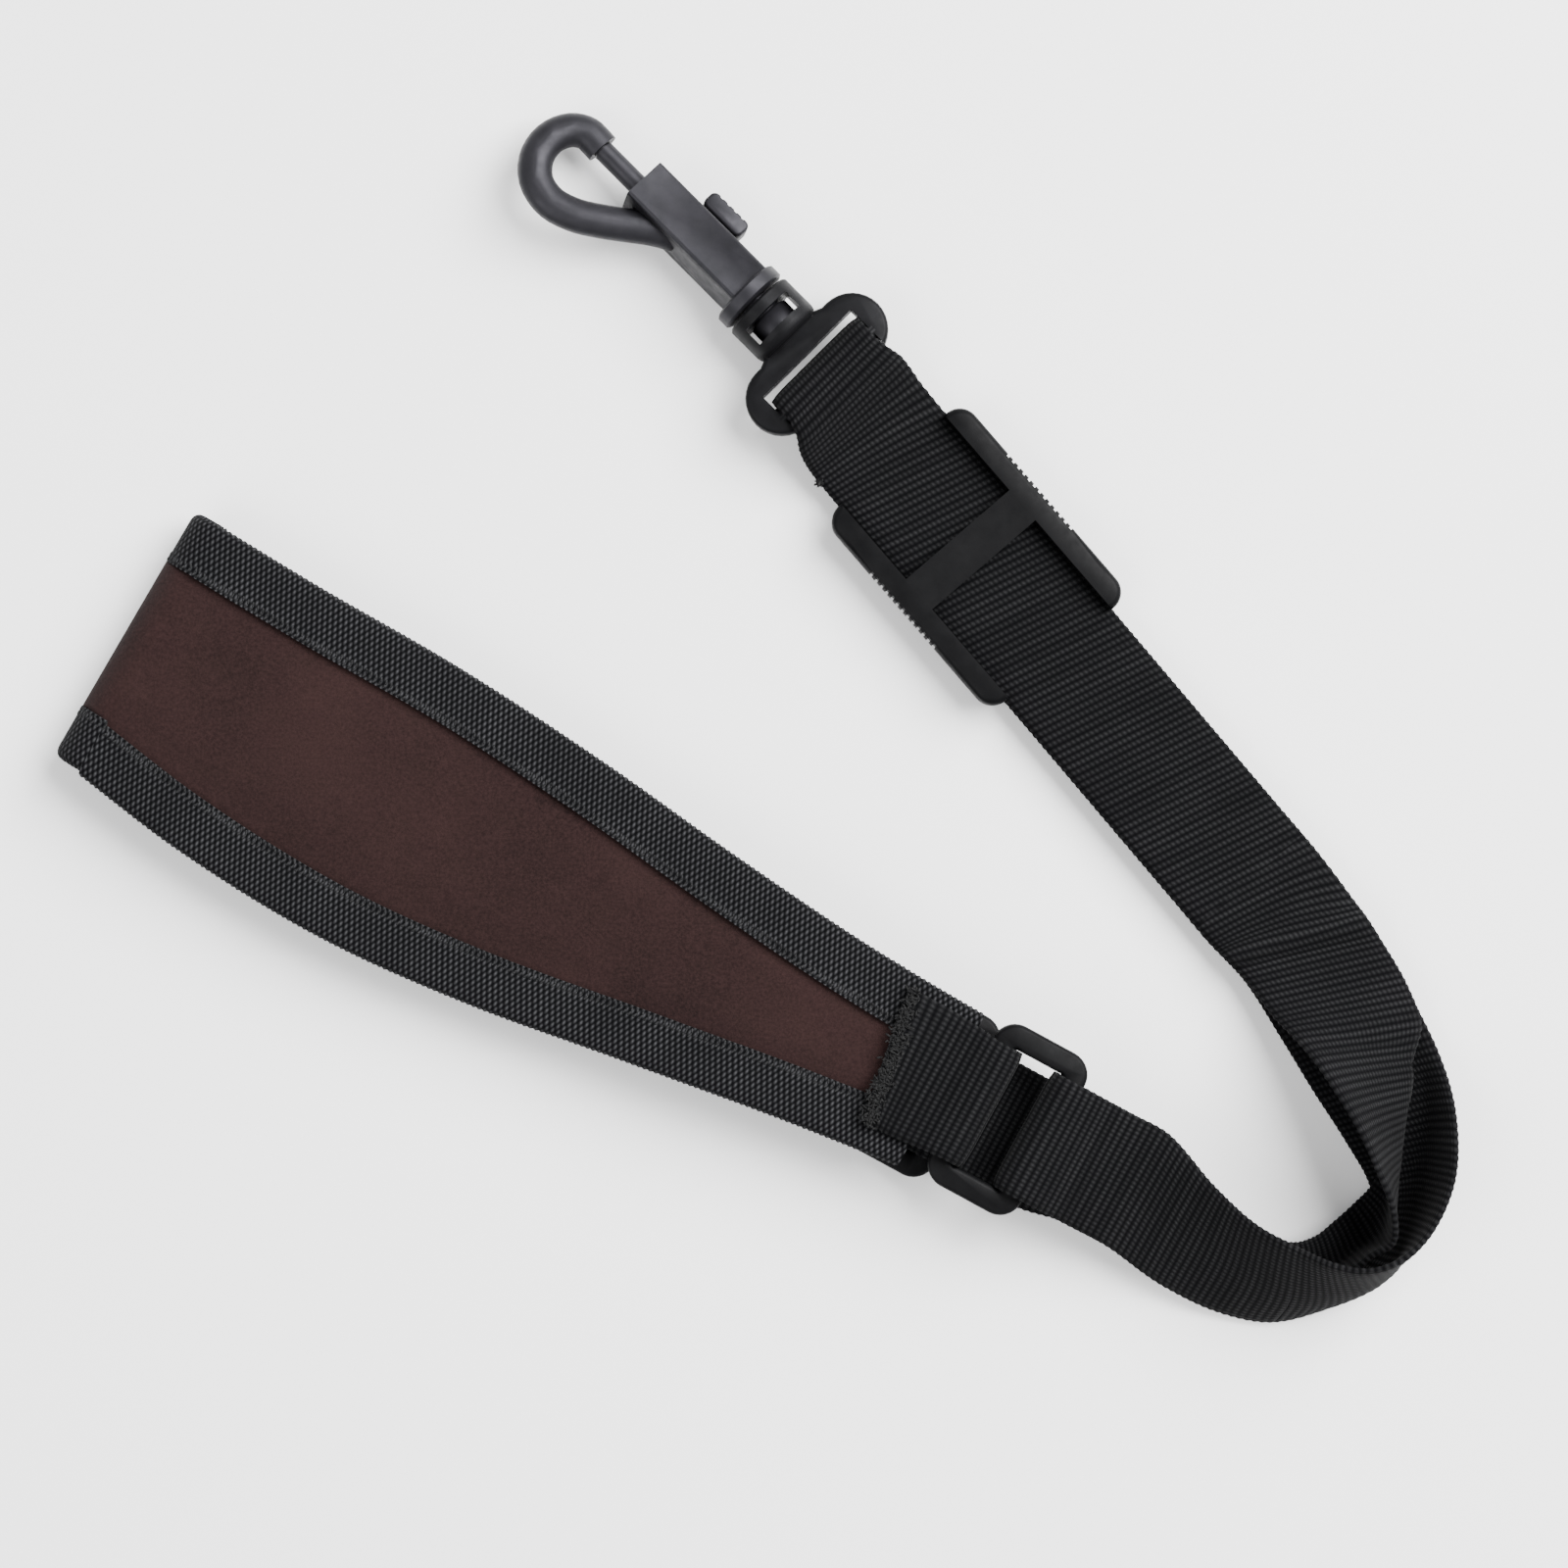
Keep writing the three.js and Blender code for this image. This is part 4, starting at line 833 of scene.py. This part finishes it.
def tape_section(half, tape_out):
    """Sideways and outward distances of the folded tape's outer and inner faces."""
    lip = TAPE_WIDTH
    corner = min(TAPE_CORNER, tape_out * 0.8)
    flat = [(half - lip + d, tape_out) for d in np.linspace(0.0, lip - corner, 9)]
    turn = [(half - corner + corner * math.sin(a), tape_out - corner + corner * math.cos(a))
            for a in np.linspace(0.0, math.pi / 2, 5)[1:]]
    upper = flat + turn
    lower = [(across, -out) for across, out in reversed(upper)]
    outer = upper + lower
    inner = [(half - lip, -tape_out + TAPE), (half - TAPE, -tape_out + TAPE),
             (half - TAPE, tape_out - TAPE), (half - lip, tape_out - TAPE)]
    return outer, inner


def make_tape(name, node, side):
    """One binding tape, folded round the pad's edge on the given side, 1 or -1."""
    stations = pad_stations(DOT_PITCH / 4)
    layers = pad_layers(stations["thin"])
    across = []
    out = []
    weave = []
    outer_u = stations["u"] + stations["out"][:, 0] * layers["tape_out"]
    outer_z = stations["z"] + stations["out"][:, 1] * layers["tape_out"]
    outer_v = running_length(np.stack([outer_u, outer_z], axis=1))
    for i, v in enumerate(outer_v):
        outer, inner = tape_section(stations["half"][i], layers["tape_out"][i])
        outer = np.array(outer)
        tooth = TAPE_TOOTH * math.cos(2 * math.pi * v / DOT_PITCH)
        edge = smooth(stations["half"][i] - 1.8, stations["half"][i], outer[:, 0])
        outer[:, 0] += tooth * edge
        lengths = running_length(outer)
        ring = np.vstack([outer, inner])
        across.append(stations["offset"][i] + side * ring[:, 0])
        out.append(ring[:, 1])
        u = np.concatenate([lengths, np.zeros(len(inner))])
        weave.append(np.stack([u, np.full(len(u), v), np.zeros(len(u))], axis=1))
    points = pad_place(stations, np.array(across), np.array(out))
    vertices = points.reshape(-1, 3)
    faces = loft_faces(len(points), points.shape[1])
    weave = np.array(weave).reshape(-1, 3)
    piece = new_piece(name, vertices, faces, MATERIALS["tape"], weave, smooth_angle=50)
    fix_normals(piece)
    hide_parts(node)
    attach(piece, "strap")


def capsule(start, end, radius, sides=6):
    """Vertices and faces of a short thread with tapered ends."""
    axis = end - start
    length = np.linalg.norm(axis)
    axis = axis / length
    helper = np.array([0.0, 0.0, 1.0]) if abs(axis[2]) < 0.9 else np.array([1.0, 0.0, 0.0])
    a = np.cross(axis, helper)
    a /= np.linalg.norm(a)
    b = np.cross(axis, a)
    profile = [(0.0, 0.35), (0.2, 0.9), (0.5, 1.0), (0.8, 0.9), (1.0, 0.35)]
    vertices = []
    for t, share in profile:
        centre = start + axis * length * t
        for j in range(sides):
            angle = 2 * math.pi * j / sides
            vertices.append(centre + radius * share * (a * math.cos(angle) + b * math.sin(angle)))
    return np.array(vertices), loft_faces(len(profile), sides)


def threads_piece(name, threads, material):
    """One piece from many short threads, each a start, an end and a radius."""
    vertices = []
    faces = []
    for start, end, radius in threads:
        points, quads = capsule(start, end, radius)
        base = len(vertices)
        vertices.extend(points)
        faces.extend(tuple(i + base for i in quad) for quad in quads)
    piece = new_piece(name, vertices, faces, material)
    fix_normals(piece)
    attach(piece, "strap")
    return piece


def between_stations(stations, index, share):
    """One station, the given share of the way from index to the next."""
    return {key: stations[key][index:index + 1] * (1 - share) + stations[key][index + 1:index + 2] * share
            for key in ("u", "z", "out")}


def make_ladder(name, side):
    """The stitches that hold the tape's inner edge, round the whole outside of the pad."""
    stations = pad_stations(1.0)
    layers = pad_layers(stations["thin"])
    threads = []
    for i in range(2, len(stations["v"]) - 2):
        here = between_stations(stations, i, 0.0)
        there = between_stations(stations, i, STITCH_SLANT)
        lip = stations["half"][i] - TAPE_WIDTH
        height = np.array([[layers["tape_out"][i] - STITCH_SINK]])

        def point(station, from_lip):
            across = np.array([[stations["offset"][i] + side * (lip + from_lip)]])
            return pad_place(station, across, height)[0, 0]

        threads.append((point(here, 0.15), point(there, 1.0), STITCH_RADIUS))
        threads.append((point(there, 0.95), point(here, 1.9), STITCH_RADIUS))
    threads_piece(name, threads, MATERIALS["ladder"])


def make_fray():
    """Short loose yarns along the cut end of the upper tab."""
    rng = np.random.default_rng(7)
    bar = ring_bar(RING_UPPER, -1)
    threads = []
    for _ in range(FRAY_COUNT):
        across = rng.uniform(-12.4, 12.4)
        distance = -TAB_LENGTH + min(max(rng.normal(1.2, 0.8), -0.8), 3.2) - across * CUT_SLANT
        height = TAB_TOP + WEB_THICK / 2 + rng.uniform(-0.15, 0.35)
        centre = bar + ring_along * distance + ring_side * across + [0, 0, height]
        angle = rng.uniform(0, math.pi)
        direction = ring_along * math.cos(angle) + ring_side * math.sin(angle)
        direction = direction + np.array([0, 0, rng.uniform(-0.3, 0.3)])
        reach = direction * rng.uniform(0.3, 0.65)
        threads.append((centre - reach, centre + reach, rng.uniform(0.11, 0.2)))
    piece = threads_piece("frayed_tab_end", threads, MATERIALS["fray"])
    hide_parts("tab_stitch_upper")


def make_loose_thread():
    """A knot of loose yarn on the strap's edge, just before the slider."""
    rng = np.random.default_rng(11)
    threads = []
    for _ in range(KNOT_COUNT):
        centre = KNOT_MIDDLE + rng.uniform(-0.45, 0.45, 3)
        reach = rng.normal(0.0, 0.4, 3)
        threads.append((centre - reach, centre + reach, rng.uniform(0.14, 0.24)))
    threads_piece("loose_thread", threads, MATERIALS["fray"])


# ---------------------------------------------------------------- hard parts

def smooth_copy(name, node, material, body, angle=35):
    """A copy of a CAD node, joined at its vertices, smooth up to angle and sharp past it."""
    source = frame["nodes"][node].data
    work = bmesh.new()
    work.from_mesh(source)
    bmesh.ops.remove_doubles(work, verts=work.verts, dist=2e-6)
    bmesh.ops.dissolve_limit(work, angle_limit=math.radians(0.5), verts=work.verts, edges=work.edges)
    mesh = bpy.data.meshes.new(name)
    work.to_mesh(mesh)
    work.free()
    mesh.polygons.foreach_set("use_smooth", [True] * len(mesh.polygons))
    mesh.set_sharp_from_angle(angle=math.radians(angle))
    mesh.materials.clear()
    mesh.materials.append(material)
    piece = bpy.data.objects.new(name, mesh)
    bpy.context.scene.collection.objects.link(piece)
    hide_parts(node)
    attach(piece, body)
    return piece


def make_hard_parts():
    smooth_copy("loop_upper", "ring_upper", MATERIALS["plastic"], "upper_loop")
    smooth_copy("loop_lower", "ring_lower", MATERIALS["plastic"], "lower_loop")
    smooth_copy("tri_glide", "slider", MATERIALS["plastic"], "slider")
    smooth_copy("snap_hook", "hook_body", MATERIALS["hook"], "hook")
    smooth_copy("gate_and_knob", "gate_pin", MATERIALS["hook"], "gate")
    coil = smooth_copy("gate_coil", "gate_spring", MATERIALS["steel"], "hook")
    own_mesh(coil)
    smooth_copy("eye_and_cage", "swivel_eye", MATERIALS["eye"], "swivel_eye")


# ---------------------------------------------------------------- stage

def make_stage():
    half = FLOOR_HALF_M
    corners = [(-half, -half, 0), (half, -half, 0), (half, half, 0), (-half, half, 0)]
    mesh = bpy.data.meshes.new("floor")
    mesh.from_pydata(corners, [], [(0, 1, 2, 3)])
    mesh.materials.append(floor_material())
    floor = bpy.data.objects.new("floor", mesh)
    floor.location.z = -FLOOR_DROP_M
    bpy.context.scene.collection.objects.link(floor)


def area_light(name, place, target, size, power):
    """A square lamp that faces target, in metres and watts."""
    light = bpy.data.lights.new(name, "AREA")
    light.shape = "SQUARE"
    light.size = size
    light.energy = power
    lamp = bpy.data.objects.new(name, light)
    lamp.location = place
    direction = Vector(target) - Vector(place)
    lamp.rotation_euler = direction.to_track_quat("-Z", "Y").to_euler()
    bpy.context.scene.collection.objects.link(lamp)


def make_lights():
    world = bpy.data.worlds.new("studio")
    world.use_nodes = True
    sky = world.node_tree.nodes["Background"]
    sky.inputs["Color"].default_value = (1.0, 1.0, 1.0, 1.0)
    sky.inputs["Strength"].default_value = 0.8
    bpy.context.scene.world = world
    area_light("key", (0.80, 0.50, 1.0), (0, 0, 0), 1.1, 85.0)
    area_light("fill", (-0.7, -0.4, 0.9), (0, 0, 0), 0.9, 12.0)


def make_camera():
    camera = bpy.data.cameras.new("camera")
    camera.sensor_width = SENSOR_MM
    camera.lens = SENSOR_MM * CAMERA_HEIGHT_M / CAMERA_WIDTH_M
    camera.clip_start = 0.05
    camera.clip_end = 20.0
    holder = bpy.data.objects.new("camera", camera)
    holder.location = (-FOOTPRINT_MIDDLE[0] * MM, -FOOTPRINT_MIDDLE[1] * MM, CAMERA_HEIGHT_M)
    bpy.context.scene.collection.objects.link(holder)
    bpy.context.scene.camera = holder


make_camera()
make_lights()
make_stage()
make_suede()
make_lining()
make_tape("binding_tape_right", "binding_right", -1)
make_tape("binding_tape_left", "binding_left", 1)
make_ladder("ladder_stitch_right", -1)
make_ladder("ladder_stitch_left", 1)
make_tab("tab_upper_web", "tab_upper", RING_UPPER)
make_tab("tab_lower_web", "tab_lower", RING_LOWER)
make_fray()
make_loose_thread()
make_strap()
make_hard_parts()
